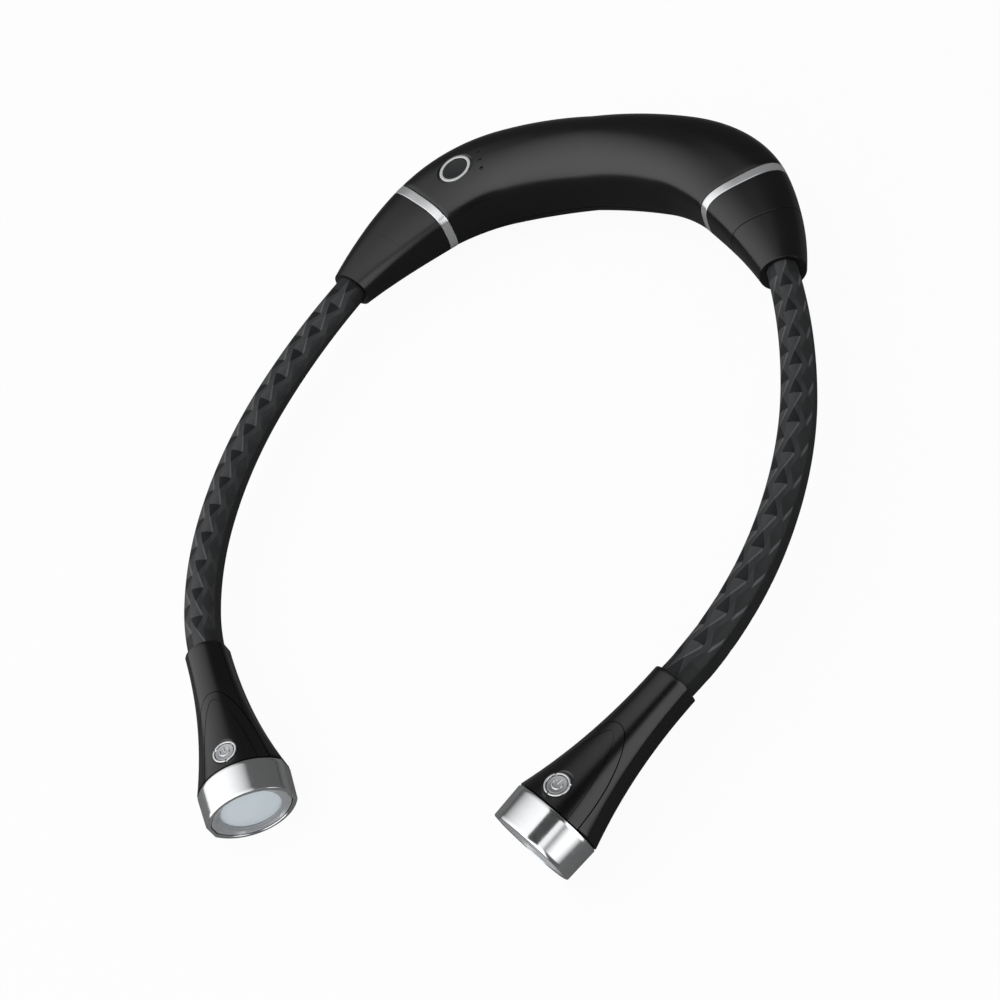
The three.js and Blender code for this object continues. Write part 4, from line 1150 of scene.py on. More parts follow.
def form_rings(
    corners: Sequence[tuple[float, float]], step: float, points: int, sign: int = 1,
) -> Array:
    """Rings of the body's form through a wall's profile of (distance, inset) corners."""
    places, insets = path_of(corners, step)
    places = places * sign
    return LOOP.frames(places).place(FORM.outlines(places, insets, even_angles(points)))


def upright(place: float, across: float = 0.0, height: float = 0.0) -> Array:
    """The 4 x 4 matrix at a place: X along the loop, Y across it, Z up."""
    at = LOOP.frames([place])
    return standing(at.along[0], at.up[0], LOOP.spot(place, across, height))


@dataclass
class Housing:
    """The battery housing: shell, base, power button, charging inlet and screws."""

    spigot_wall: float = 1.2
    seam_drop: float = 6.8
    seam_inset: float = 5.2
    spigot_length: float = 20.8
    edge: float = 0.3
    slab_half_width: float = 18.0
    power_place: tuple[float, float] = (-45.2, -0.8)
    guide_place: float = -36.2
    guide_across: tuple[float, ...] = (-6.9, -3.2, 0.5)
    pin_hole: float = 0.65
    port_place: float = -45.0
    port_height: float = 3.93
    port_half: tuple[float, float] = (4.47, 1.63)
    port_depth: float = 8.7
    port_sink: float = 0.85
    port_wall: float = 0.35
    tongue_half: tuple[float, float] = (3.35, 0.35)
    screw_places: tuple[float, float] = (-26.2, 38.0)
    screw_head: float = 1.8
    screw_shank: float = 1.0
    screw_height: float = 1.3
    screw_length: float = 10.0
    screw_recess: float = 0.6
    cross_half: tuple[float, float] = (0.9, 0.25)

    @property
    def seam_end(self) -> float:
        """Distance from the middle to the ends of the base."""
        return LOOP.housing_end - self.seam_inset

    @property
    def port_matrix(self) -> Array:
        """Place and turn of the charging inlet, whose axis is Y."""
        return upright(self.port_place, 0.0, self.port_height)

    @property
    def mouth(self) -> float:
        """Distance of the inlet's front from the loop."""
        return FORM.side(self.port_place, self.port_height) - self.port_sink

    def slab(self, name: str, reach: float, low: float, high: float) -> Any:
        """All between two heights over a stretch of the housing, as wide as it is."""
        wide = self.slab_half_width
        places = np.linspace(-reach, reach, 90)
        outline = np.array([[wide, low], [wide, high], [-wide, high], [-wide, low]])
        rings = LOOP.frames(places).place(np.repeat(outline[None], len(places), 0))
        return ring_surface(name, rings, False)

    @property
    def power_matrix(self) -> Array:
        """The matrix whose Z axis stands square on the housing's top at the power button."""
        along, across = self.power_place
        here, ahead, beside = (
            LOOP.spot(along + a, across + b, FORM.top(along + a, across + b))
            for a, b in ((0.0, 0.0), (FIT, 0.0), (0.0, FIT)))
        x = unit(ahead - here)
        return standing(x, unit(np.cross(x, beside - here)), here)

    def slot_bar(self, name: str, profile: Sequence[tuple[float, float]]) -> Any:
        """A bar along the charging slot's axis through (depth, growth) of its outline.

        The outline is a rounded oblong, |x| <= a - b, capped by half circles of radius b.

        Args:
            name: The piece's name.
            profile: For each ring its depth and how far it is grown.

        Returns:
            The new object.
        """
        angles, rings = even_angles(64), []
        for depth, grow in profile:
            width, height = (half + grow for half in self.port_half)
            x = height * np.cos(angles) + np.sign(np.cos(angles)) * (width - height)
            rings.append(np.stack([x, np.full(len(angles), depth), height * np.sin(angles)], -1))
        return ring_surface(name, moved(np.stack(rings), self.port_matrix), False)

    def shell(self) -> None:
        """The upper shell with its spigots, cut open underneath and at each opening."""
        end, slim = LOOP.housing_end, SKIN + CLEARANCE
        spigot, bore = end + self.spigot_length, slim + self.spigot_wall
        inner = [(end, slim), (spigot, slim), (spigot, bore), (self.seam_end + 2.0, bore),
                 (self.seam_end, SKIN)]
        profile = [*soft_edges(-end, end, self.edge), *inner, *((-a, b) for a, b in inner[::-1])]
        piece = ring_surface("housing_upper", form_rings(profile, WALL_STEP, WALL_POINTS))
        press, core_line = self.power_matrix, [(k * self.seam_end, SKIN / 2) for k in (-1, 1)]
        core = ring_surface("core", form_rings(core_line, 2.0, 96), False)
        boss = combine(POWER_BUTTON.boss_bar(press), "INTERSECT", core)
        combine(piece, "UNION", boss)
        mouth, pin = self.mouth, [(self.pin_hole, 0.0), (self.pin_hole, 20.0)]
        combine(
            piece, "DIFFERENCE",
            self.slab("underneath", self.seam_end, -18.0, -self.seam_drop),
            POWER_BUTTON.hole(press),
            self.slot_bar("mouth", [(mouth - 4.0, FIT), (mouth + 0.35, FIT), (mouth + 3.0, 2.85)]),
            *(turned("pin_hole", pin, upright(self.guide_place, across), 32)
              for across in self.guide_across))
        settle(piece, BLACK_ABS, "root", "housing_shell")

    def base(self) -> None:
        """The cover under the housing, with its screw holes and the flat strip it rests on."""
        end = self.seam_end
        profile = [(-end, 0.0), (end, 0.0), (end, SKIN), (-end, SKIN)]
        piece = ring_surface("housing_cover", form_rings(profile, WALL_STEP, WALL_POINTS))
        top = -self.seam_drop - CLEARANCE
        combine(piece, "INTERSECT", self.slab("below_seam", end - CLEARANCE, -LOOP.arm_plane, top))
        combine(piece, "DIFFERENCE", *(self.screw_hole(place) for place in self.screw_places))
        settle(piece, BLACK_ABS, "root", "housing_base")

    def screw_seat(self, place: float) -> float:
        """Height over the arm plane at which a screw's head seats."""
        bottom = -float(FORM.section(np.array([place]))[1][0])
        return bottom + self.screw_recess + self.screw_height

    def screw_hole(self, place: float) -> Any:
        """The stepped hole of a screw, with a bevelled mouth."""
        seat, bore, shank = self.screw_seat(place), *(
            radius + CLEARANCE for radius in (self.screw_head, self.screw_shank))
        mouth, under = bore + 0.25, -LOOP.arm_plane
        return turned("screw_hole", [
            (mouth, under - 5.5), (mouth, under - 0.2), (bore, under + 0.1), (bore, seat),
            (shank, seat), (shank, 0.0),
        ], upright(place), 48)

    def screws(self) -> None:
        """Countersunk screws with a cross recess, one at each end."""
        head, shank, length, edge = self.screw_head, self.screw_shank, self.screw_length, 0.1
        foot = -self.screw_height
        for side, place in zip(Side, self.screw_places):
            matrix = upright(place, 0.0, self.screw_seat(place) - FIT)
            piece = turned(f"cover_screw_{side.value}", [
                (AXIS, length), (shank / 2, length), (shank, length - shank), (shank, 0.0),
                (head, foot / 2), (head, foot + edge), (head - edge, foot), (AXIS, foot),
            ], matrix, 48)
            half, thick = self.cross_half
            for turn in (0.0, np.pi / 2):
                cross = slot_cutter("cross", (-half, half), thick, (-3.0, foot / 2), turn, matrix)
                combine(piece, "DIFFERENCE", cross)
            settle(piece, CONNECTOR_STEEL, "root", f"base_screw_{side.value}")

    def port(self) -> None:
        """The charging inlet: a drawn steel shell round a thin tongue."""
        mouth, wall = self.mouth, self.port_wall
        back, floor = mouth - self.port_depth, mouth - self.port_depth + 1.2
        shell = self.slot_bar("inlet_shell", [
            (back, -1.0), (back, -0.1), (back + 0.1, 0.0), (mouth - 0.12, 0.0), (mouth, -0.12),
            (mouth, -wall + 0.05), (mouth - 0.1, -wall), (floor, -wall), (floor, -1.0),
        ])
        settle(shell, CONNECTOR_STEEL, "root", "usb_port")
        half, thick = self.tongue_half
        corner = np.array([[half, thick - 0.1], [half - 0.2, thick]])
        outline = np.concatenate([
            corner, corner[::-1] * [-1.0, 1.0], -corner, corner[::-1] * [1.0, -1.0]])
        rings = np.stack([
            np.stack([outline[:, 0] * k, np.full(len(outline), depth), outline[:, 1] * k], -1)
            for depth, k in ((floor + 0.1, 1.0), (mouth - 1.4, 1.0), (mouth - 1.2, 0.93))])
        tongue = ring_surface("inlet_tongue", moved(rings, self.port_matrix), False)
        settle(tongue, CONTACT_PLASTIC, "root")

    def button(self) -> None:
        """The power button and its polished ring."""
        matrix = self.power_matrix
        cap = POWER_BUTTON.cap_piece("power_button_cap", matrix)
        settle(cap, BUTTON_ABS, "power_button", "power_button")
        ring = POWER_BUTTON.ring_piece("power_button_trim", matrix)
        settle(ring, BAND_STEEL, "root", "power_button_ring")

    def build(self) -> None:
        """Builds every piece of the housing."""
        self.shell()
        self.base()
        self.screws()
        self.port()
        self.button()


# Arms


@dataclass
class Arm:
    """One arm: band, tapered end, textured sleeve over the bends, and the lead inside."""

    side: Side
    band_width: float = 3.2
    collar_length: float = 15.2
    sleeve_radius: float = 5.25
    sleeve_flat: float = 4.6
    relief: float = 0.28
    bore: float = 4.05
    rows: int = 14
    section_rows: tuple[int, ...] = (2, 3, 4, 3, 2)
    cells: int = 3
    twist: float = 36.0
    fineness: int = 12
    lead_radius: float = 0.6
    lead_rise: float = 2.7
    lead_reach: float = 6.0

    @property
    def pitch(self) -> float:
        """Length of one row of pyramids."""
        return (LOOP.arm_end - LOOP.boot_end) / self.rows

    @property
    def bends(self) -> list[float]:
        """Distances at which the arm bends."""
        return [LOOP.boot_end + self.pitch * sum(self.section_rows[: i + 1]) for i in range(4)]

    @property
    def midways(self) -> list[float]:
        """Distances midway between two bends."""
        return [(p + q) / 2 for p, q in zip(self.bends, self.bends[1:])]

    @property
    def bodies(self) -> list[str]:
        """The bodies along the arm, from the housing to the head."""
        name = self.side.value
        return ["root", *(f"{name}_arm_{i}" for i in (1, 2, 3)), f"{name}_head"]

    @property
    def split_edge(self) -> float:
        """Rounding at the split line, which is hardly seen on the left and fine on the right."""
        return 0.015 if self.side is Side.LEFT else 0.14

    @property
    def flat_height(self) -> float:
        """Half height of the sleeve's side flats."""
        return math.sqrt(self.sleeve_radius**2 - self.sleeve_flat**2)

    def sleeve_outline(self, growth: float) -> Array:
        """Outline of the sleeve without its pyramids."""
        return flatted(self.sleeve_flat, self.sleeve_radius, self.flat_height, -growth, 0.3)[0]

    def ring_corners(self, start: float, end: float, edge: float) -> list[tuple[float, float]]:
        """A wall's profile with rounded outer edges, and a narrow strip that ends their shading."""
        corners, strip = soft_edges(start, end, edge), edge + 0.1
        return [(start, SKIN), *corners[:3], (start + strip, 0.0), (end - strip, 0.0),
                *corners[3:], (end, SKIN)]

    def wall(self, name: str, corners: Sequence[tuple[float, float]]) -> Any:
        """A ring of the body's form through a closed wall profile of (distance, inset)."""
        rings = form_rings([*corners, corners[0]], 1.2, WALL_POINTS, self.side.sign)
        return ring_surface(name, rings[:-1])

    def band(self) -> None:
        """The metal band between the housing and the tapered end."""
        start = LOOP.housing_end + FIT
        corners = self.ring_corners(start, start + self.band_width, 0.22)
        piece = self.wall(f"trim_band_{self.side.value}", corners)
        settle(piece, BAND_STEEL, "root", f"band_{self.side.value}")

    def collar(self) -> None:
        """The first part of the tapered end, up to the fine split line."""
        start = LOOP.housing_end + self.band_width + 2 * FIT
        end = start + self.collar_length + (FIT * 0.9 if self.side is Side.LEFT else 0.0)
        corners = self.ring_corners(start, end, self.split_edge)
        piece = self.wall(f"taper_collar_{self.side.value}", corners)
        settle(piece, BLACK_ABS, "root", f"end_collar_{self.side.value}")

    def boot(self) -> None:
        """The last part of the tapered end: a hollow cone whose mouth grips the sleeve."""
        start = LOOP.housing_end + self.band_width + self.collar_length + 3 * FIT
        end, root = LOOP.boot_end, LOOP.boot_end - PLUG
        shoulder = root - CLEARANCE - SHOULDER
        grip = spun(self.sleeve_outline(FIT), self.twist_at(end))
        angles = angles_of(grip)
        corners = self.ring_corners(start, end, self.split_edge)[1:-1]
        outer_places, outer_insets = path_of(corners, 1.0)
        grips, passage = [end, end - SOCKET_LIP, root], [root - CLEARANCE, shoulder]
        cavity = np.linspace(shoulder - 0.05, start, 12)
        places = np.concatenate([outer_places, grips, passage, cavity])
        outlines = np.concatenate([
            FORM.outlines(outer_places, outer_insets, angles), np.repeat(grip[None], len(grips), 0),
            circle(angles, PASSAGE, len(passage)), FORM.outlines(cavity, SKIN, angles),
        ])
        rings = LOOP.frames(places * self.side.sign).place(outlines)
        piece = ring_surface(f"taper_boot_{self.side.value}", rings)
        settle(piece, BLACK_ABS, "root", f"arm_boot_{self.side.value}")

    def sleeve_columns(self) -> tuple[Array, Array, Array]:
        """The sleeve's section as columns: base points, place u in a cell, and the cell.

        Returns:
            Points (across, up), u from -1 to 1 across the column's cell, and the cell's number,
            or -1 on the flats.
        """
        reach = math.asin(self.sleeve_flat / self.sleeve_radius)
        steps = self.cells * self.fineness
        turn = np.linspace(reach, -reach, steps + 1)
        arc = self.sleeve_radius * np.stack([np.sin(turn), np.cos(turn)], -1)
        u = 2.0 * ((np.arange(steps + 1) / self.fineness) % 1.0) - 1.0
        rise = np.linspace(self.flat_height, -self.flat_height, 9)[1:-1]
        flat = np.stack([np.full(len(rise), -self.sleeve_flat), rise], -1)
        off, none = np.full(len(flat), 9.0), np.full(len(flat), -1)
        cell = np.minimum(np.arange(steps + 1) // self.fineness, self.cells - 1)
        return (np.concatenate([arc, flat, -arc, -flat]), np.concatenate([u, off, u, off]),
                np.concatenate([cell, none, cell, none]))

    def sleeve_rings(self, distances: Array) -> Array:
        """Outer rings of the sleeve: the section pushed out by the pyramids' height.

        In each cell the height is relief * (1 - max(|u|, |v|)), which makes a pyramid with four
        plane faces. u runs across the cell and v along the arm. The left arm is a little
        twisted, as a bent gooseneck stays: its section turns by the twist at the boot and
        less and less towards the head.

        Args:
            distances: Distances along the loop.

        Returns:
            Outlines of the rings.
        """
        points, us, _ = self.sleeve_columns()
        rows = self.rows_at(distances)
        v = 2.0 * (rows % 1.0) - 1.0
        height = np.clip(1.0 - np.maximum(np.abs(us)[None, :], np.abs(v)), 0.0, 1.0)
        height = height * self.whole(rows)
        radius = np.linalg.norm(points, axis=-1)[None, :]
        grown = points[None] * (1.0 + self.relief * height / radius)[..., None]
        return spun(grown, self.twist_at(distances)[:, None])

    def rows_at(self, distances: Array) -> Array:
        """Row number at each distance and column; every second column is half a row on."""
        _, _, cells = self.sleeve_columns()
        rows = (distances - LOOP.boot_end) / self.pitch
        return rows[:, None] + np.where(cells % 2 == 1, 0.0, 0.5)[None, :]

    def whole(self, rows: Array) -> Array:
        """Where a column has a whole cell, from its row numbers: not at its ends nor on a flat."""
        _, _, cells = self.sleeve_columns()
        first = np.where(cells % 2 == 1, 0.0, 1.0)
        return (cells >= 0) & (rows > first - 1e-6) & (rows < self.rows + 1e-6)

    def twist_at(self, distances: Array | float) -> Array:
        """Turn of the section at each distance, in radians."""
        if self.side is Side.RIGHT:
            return np.zeros_like(distances)
        share = np.clip((LOOP.arm_end - distances) / (LOOP.arm_end - LOOP.boot_end), 0.0, 1.0)
        return np.radians(self.twist) * share

    def bend_over(self, piece: Any, number: int, reach: float, *nodes: str) -> None:
        """Bakes a piece's place into its mesh and lets it stand for its CAD nodes.

        Args:
            piece: The object.
            number: The bend's number.
            reach: Distance from the bend of two points on either side of it, which are worked out
                and not used further.
            nodes: The CAD nodes that the piece stands for.
        """
        places = (self.bends[number] + k * reach for k in (-1, 1))
        start, end = (LOOP.spot(self.side.sign * place, 0.0, 0.0) * MM for place in places)
        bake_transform(piece)
        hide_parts(*nodes)

    def sleeve(self) -> None:
        """The sleeve in four pieces, each around one bend of the arm."""
        name, (points, us, cells) = self.side.value, self.sleeve_columns()
        cuts = [self.snap(cut) for cut in (
            LOOP.boot_end - PLUG, *self.midways, LOOP.arm_end + PLUG)]
        for number, (near, far) in enumerate(zip(cuts, cuts[1:])):
            distances = self.stations(near, far)
            inside = distances[::-6]
            if inside[-1] > near:
                inside = np.append(inside, near)
            outlines = np.concatenate([
                self.sleeve_rings(distances), circle(angles_of(points), self.bore, len(inside))])
            places = np.concatenate([distances, inside]) * self.side.sign
            piece = ring_surface(
                f"sleeve_{name}_{number + 1}", LOOP.frames(places).place(outlines), True,
                self.diagonals(us, distances, len(outlines)),
                self.pattern(cells, distances, len(outlines)))
            smooth(piece.data, 60.0)
            settle(piece, SILICONE[self.side], None)
            sections = (3, 4) if number == 3 else (number,)
            reach = self.blend_reach(near, far, number)
            self.bend_over(piece, number, reach, *(f"arm_sleeve_{name}_{i}" for i in sections))

    def pattern(self, cells: Array, distances: Array, rings: int) -> tuple[Array, Array]:
        """Pattern coordinates in cells: whole numbers at the cells' borders, -1 off the pyramids.

        On the left arm both are counted the other way, so that the same corner of every cell
        is the one towards the lamp's left and the end of the loop.

        Args:
            cells: Cell of each column, or -1 on the flats.
            distances: Distance of each ring that has pyramids.
            rings: How many rings the surface has.

        Returns:
            The coordinates at both edges of each patch, across and along.
        """
        steps = self.cells * self.fineness
        across = np.full((len(cells), 2), -1.0)
        for start in (0, len(cells) // 2):
            across[start : start + steps, 0] = np.arange(steps) / self.fineness
            across[start : start + steps, 1] = np.arange(1, steps + 1) / self.fineness
        shift = np.where(np.floor(across.mean(-1)) % 2 == 1, 0.0, 0.5)
        row = (distances - LOOP.boot_end) / self.pitch
        edges = np.stack([row[:-1], row[1:]], -1)[:, None, :] + shift[None, :, None]
        starts, ends = edges[..., 0] > 2 * shift - 1e-6, edges[..., 1] < self.rows + 1e-6
        kept = (across[:, 0] >= 0) & starts & ends
        wide, along = np.full((2, rings, len(cells), 2), -1.0)
        along[: len(row) - 1][kept] = edges[kept]
        wide[: len(row) - 1][kept] = np.broadcast_to(across, edges.shape)[kept]
        if self.side is Side.LEFT:
            wide = np.where(wide < 0, -1.0, self.cells - wide)
            along = np.where(along < 0, -1.0, self.rows + 1.0 - along)
        return wide, along

    def blend_reach(self, near: float, far: float, number: int) -> float:
        """How far a sleeve piece reaches beside its bend, clear of its ends and of its plugs."""
        low, high = max(near, LOOP.boot_end) + 0.8, min(far, LOOP.arm_end) - 0.8
        return min(self.bends[number] - low, high - self.bends[number])

    def snap(self, distance: float) -> float:
        """The nearest half row, or the distance itself off the rows."""
        row = (distance - LOOP.boot_end) / self.pitch
        if row < 0 or row > self.rows:
            return distance
        return LOOP.boot_end + round(2 * row) * self.pitch / 2

    def stations(self, near: float, far: float) -> Array:
        """Ring places between two distances: fine on the rows, coarse on the plugs."""
        start, stop = max(near, LOOP.boot_end), min(far, LOOP.arm_end)
        count = round((stop - start) / self.pitch * self.fineness)
        parts = [np.linspace(start, stop, count + 1)]
        if near < start:
            parts.insert(0, np.linspace(near, start, 5)[:-1])
        if far > stop:
            parts.append(np.linspace(stop, far, 5)[1:])
        return np.concatenate(parts)

    def diagonals(self, us: Array, distances: Array, rings: int) -> Array:
        """Which way each patch is split, so that the splits follow the pyramids' ridges."""
        following = np.roll(us, -1)
        middle_u = np.where(np.abs(following - us) > 1.0, 0.5, (us + following) / 2.0)
        rows = self.rows_at((distances[:-1] + distances[1:]) / 2.0)
        middle_v = np.ones((rings, len(us)))
        middle_v[: len(rows)] = 2.0 * (rows % 1.0) - 1.0
        return (middle_v * middle_u[None, :]) > 0

    def lead_route(self) -> Array:
        """The lead's route as (signed place, across, height), as in the CAD source."""
        sign, rise = self.side.sign, self.lead_rise
        board = 2.0 + CLEARANCE + self.lead_radius
        if self.side is Side.LEFT:
            start = [(-50.2, -3.5, board), (-55.0, -2.5, board), (-62.0, -1.0, board),
                     (-72.0, 0.0, rise)]
        else:
            beside, above = 7.2, 8.55
            start = [
                (-35.0, 6.0, board), (-30.5, 6.4, board + 0.6), (-25.0, beside, above * 0.85),
                *((place, beside, above) for place in (-20.0, -4.0, 12.0, 28.0)),
                (36.0, 5.5, above), (45.0, 3.0, above * 0.75), (54.0, 1.0, rise + 1.2),
                (64.0, 0.0, rise), (74.0, 0.0, rise)]
        inside = np.arange(LOOP.boot_end - 10.8, LOOP.arm_end + 7.6, 4.0)
        end = [(sign * (LOOP.arm_end + d), 0.0, -rise / 2) for d in (22.1, 35.4, 47.1)]
        return np.array([*start, *((sign * d, 0.0, rise) for d in inside), *end])

    def lead(self) -> None:
        """The lead to the lamp: one stretch in the housing and one over each bend."""
        name, route = f"led_lead_{self.side.value}", self.lead_route()
        path = catmull_rom(route, np.linspace(0, len(route) - 1, 12 * len(route)))
        cuts = [-1e3, LOOP.boot_end - 4.0, *self.midways, 1e3]
        order = path[:, 0] * self.side.sign
        for number, (near, far) in enumerate(zip(cuts, cuts[1:])):
            stretch = path[np.searchsorted(order, near) : np.searchsorted(order, far) + 1]
            at = LOOP.frames(stretch[:, 0])
            centre = at.origin + stretch[:, 1:2] * at.out + stretch[:, 2:3] * at.up
            piece = tube(f"lamp_lead_{self.side.value}_{number}", centre, self.lead_radius)
            if number == 0:
                settle(piece, WIRE_JACKET, "root", name)
            else:
                settle(piece, WIRE_JACKET, None)
                self.bend_over(piece, number - 1, self.lead_reach, name)

    def build(self) -> None:
        """Builds every piece of the arm."""
        self.band()
        self.collar()
        self.boot()
        self.sleeve()
        self.lead()


def catmull_rom(points: Array, at: Array) -> Array:
    """A smooth curve through points: on each span the cubic whose slopes are half the chords.

    Args:
        points: The points, one at each whole number from zero.
        at: Where the curve is wanted.

    Returns:
        The curve's points.
    """
    padded = np.concatenate([[2 * points[0] - points[1]], points, [2 * points[-1] - points[-2]]])
    i = np.clip(np.floor(at).astype(int), 0, len(points) - 2)
    t = (at - i)[:, None]
    p0, p1, p2, p3 = (padded[i + k] for k in range(4))
    return 0.5 * (2 * p1 + (p2 - p0) * t + (2 * p0 - 5 * p1 + 4 * p2 - p3) * t**2
                  + (3 * p1 - p0 - 3 * p2 + p3) * t**3)


def tube(name: str, centre: Array, radius: float, count: int = 16) -> Any:
    """A round tube along a line, its sections square to the line and kept upright."""
    along = np.gradient(centre, axis=0)
    along /= np.linalg.norm(along, axis=1)[:, None]
    side = np.cross(along, [0.0, 0.0, 1.0])
    side /= np.linalg.norm(side, axis=1)[:, None]
    outlines = circle(even_angles(count), radius, len(centre))
    rings = Frames(centre, along, side, np.cross(side, along)).place(outlines)
    return ring_surface(name, rings, False)


# Lamp heads


@dataclass
class LampHead:
    """A lamp head: flaring casing, arched inlay with a button, metal collar, bezel and lens."""

    side: Side
    neck: tuple[float, float, float] = (5.75, 6.4, 2.87)
    collar_back: tuple[float, float, float] = (12.4, 10.55, 2.87)
    face: tuple[float, float, float] = (12.05, 10.35, 2.87)
    casing_length: float = 44.2
    casing_edge: float = 0.3
    collar_length: float = 9.6
    collar_edge: float = 0.28
    flare: float = 2.2
    wall: float = 1.3
    collar_wall: float = 1.0
    spigot_wall: float = 1.0
    spigot: float = 2.8
    spigot_root: float = 2.2
    arch_length: float = 26.2
    arch_half_width: float = 10.2
    arch_power: float = 0.43
    arch_wall: float = 1.2
    arch_step: float = 2.3
    line_width: float = 0.2
    line_depth: float = 0.16
    press_setback: float = 4.9
    notch_reach: tuple[float, float] = (2.0, 4.4)
    notch_half: float = 0.28
    notch_levels: tuple[float, float] = (-0.25, 2.0)
    notch_turns: tuple[float, ...] = (0.0, 2.2, -2.2)
    sign_radius: float = 1.3
    sign_gap: float = 0.75
    sign_bar: tuple[float, float] = (-1.75, -0.1)
    sign_stroke: float = 0.16
    sign_sink: float = 0.02
    lens_radius: float = 8.55
    lens_view: float = 8.25
    lens_thickness: float = 1.25
    lens_recess: float = 1.3
    lens_dome: float = 0.25
    ledge: float = 0.3

    @property
    def length(self) -> float:
        """Distance from the neck to the face."""
        return self.casing_length + CLEARANCE + self.collar_length

    @property
    def body(self) -> str:
        """The body that the head rides on."""
        return f"{self.side.value}_head"

    @property
    def matrix(self) -> Array:
        """Place and turn of the head: local +X runs from the neck to the face."""
        at = LOOP.frames([self.side.sign * (LOOP.arm_end + 1e-6)])
        return standing(at.along[0] * self.side.sign, at.up[0], at.origin[0])

    @property
    def press_matrix(self) -> Array:
        """The matrix whose Z axis stands square on the casing's top at the button."""
        place = self.casing_length - self.press_setback
        here, ahead = self.casing_size(np.array([place, place + FIT]))[1]
        slope = math.atan2(ahead - here, FIT)
        c, s = math.cos(slope), math.sin(slope)
        return self.matrix @ standing((c, 0.0, s), (-s, 0.0, c), (place, 0.0, here))

    def casing_size(self, places: Array) -> tuple[Array, Array, Array]:
        """Half sizes of the casing, which flares with the 2.2nd power of the distance."""
        share = np.clip(places / self.casing_length, 0.0, None) ** self.flare
        return tuple(n + (c - n) * share for n, c in zip(self.neck, self.collar_back))

    def collar_size(self, places: Array) -> tuple[Array, Array, Array]:
        """Half sizes of the metal collar, which narrows evenly to the face."""
        share = (places - self.casing_length - CLEARANCE) / self.collar_length
        return tuple(c + (f - c) * share for c, f in zip(self.collar_back, self.face))

    def on_casing(self, places: Array, inset: Array | float) -> tuple[Array, Array]:
        """A stretch of the casing's form: places and their outlines, drawn in."""
        return places, flatted(*self.casing_size(places), inset)

    def on_collar(self, places: Array, inset: Array | float) -> tuple[Array, Array]:
        """A stretch of the metal collar's form: places and their outlines, drawn in."""
        return places, flatted(*self.collar_size(places), inset)

    def surface(self, name: str, *stretches: tuple[Array, Array], closed: bool = True) -> Any:
        """A surface through stretches of outlines that stand square on the head's axis.

        Args:
            name: The piece's name.
            stretches: Places along the axis and the outlines there.
            closed: True for a ring round the axis.

        Returns:
            The new object.
        """
        places, outlines = (np.concatenate(parts) for parts in zip(*stretches))
        x = np.broadcast_to(places[:, None, None], (*outlines.shape[:2], 1))
        return ring_surface(name, moved(np.concatenate([x, outlines], -1), self.matrix), closed)

    def layer(self, name: str, outer: float, inner: float) -> Any:
        """A layer of the casing's form between two insets, longer than the inlay."""
        places = np.linspace(10.0, self.casing_length, 60)
        return self.surface(
            name, self.on_casing(places, outer), self.on_casing(places[::-1], inner))

    def arch(self, name: str, growth: float, low: float = 1.0, high: float = 14.0) -> Any:
        """The arched inlay's plan as a prism: half width 10.2 share^0.43 from its apex.

        Args:
            name: The piece's name.
            growth: How far the plan is grown, square to its edge.
            low: Height of the prism's floor.
            high: Height of its top.

        Returns:
            The new object.
        """
        t, half, power = np.linspace(0.0, 1.0, 60), self.arch_half_width, self.arch_power
        ahead = 2.0 * self.arch_length * t
        beside = 2.0 * power * half * np.maximum(t, 1e-6) ** (2 * power - 1)
        slope = np.where(t == 0, np.pi / 2, np.arctan2(beside, np.maximum(ahead, 1e-9)))
        x = self.casing_length - self.arch_length * (1 - t**2) - growth * np.sin(slope)
        y = half * (t**2) ** power + growth * np.cos(slope)
        y[0] = 0.0
        x, y = x[y >= 0.0], y[y >= 0.0]
        x, y = np.append(x, self.casing_length + max(growth, 0.0)), np.append(y, y[-1])
        plan = np.concatenate([np.stack([x, y], -1), np.stack([x, -y], -1)[:0:-1]])
        return prism(name, plan, low, high, self.matrix)

    def casing(self) -> None:
        """The casing: neck socket, flaring shell and spigot, with the room for the inlay."""
        end, socket = self.casing_length, PLUG + CLEARANCE
        spigot, root = end + self.spigot, end - self.spigot_root
        cavity, inset = socket + SHOULDER, self.collar_wall + FIT
        outer = self.on_casing(*path_of(soft_edges(0.0, end, self.casing_edge), 0.9))
        grip = np.repeat(Arm(self.side).sleeve_outline(FIT)[None], 3, 0)
        piece = self.surface(
            f"lamp_casing_{self.side.value}", outer,
            self.on_collar(np.array([end, spigot]), inset),
            self.on_collar(np.array([spigot, root]), inset + self.spigot_wall),
            self.on_casing(np.linspace(root - 0.01, cavity, 30), self.wall),
            (np.array([cavity, socket]), circle(angles_of(outer[1][0]), PASSAGE, 2)),
            (np.array([socket, SOCKET_LIP, 0.0]), grip))
        combine(piece, "DIFFERENCE", self.arch("inlay_room", FIT))
        settle(piece, BLACK_ABS, self.body, f"head_casing_{self.side.value}")

    def panel(self) -> None:
        """The arched inlay, with a fine second line inside its edge and the button's hole."""
        name, press, step = self.side.value, self.press_matrix, self.arch_step
        piece = self.layer(f"inlay_{name}", 0.0, self.arch_wall)
        combine(piece, "INTERSECT", self.arch("inlay_plan", 0.0))
        places = np.linspace(20.0, self.casing_length, 28)
        core = self.surface("core", self.on_casing(places, self.arch_wall / 2), closed=False)
        combine(piece, "UNION", combine(HEAD_BUTTON.boss_bar(press), "INTERSECT", core))
        inside = self.arch("line_inside", -step - self.line_width, 0.0, 16.0)
        groove = combine(self.arch("line", -step), "DIFFERENCE", inside)
        combine(groove, "INTERSECT", self.layer("line_depth", -0.5, self.line_depth))
        combine(piece, "DIFFERENCE", groove, HEAD_BUTTON.hole(press))
        settle(piece, BLACK_ABS, self.body, f"head_panel_{name}")

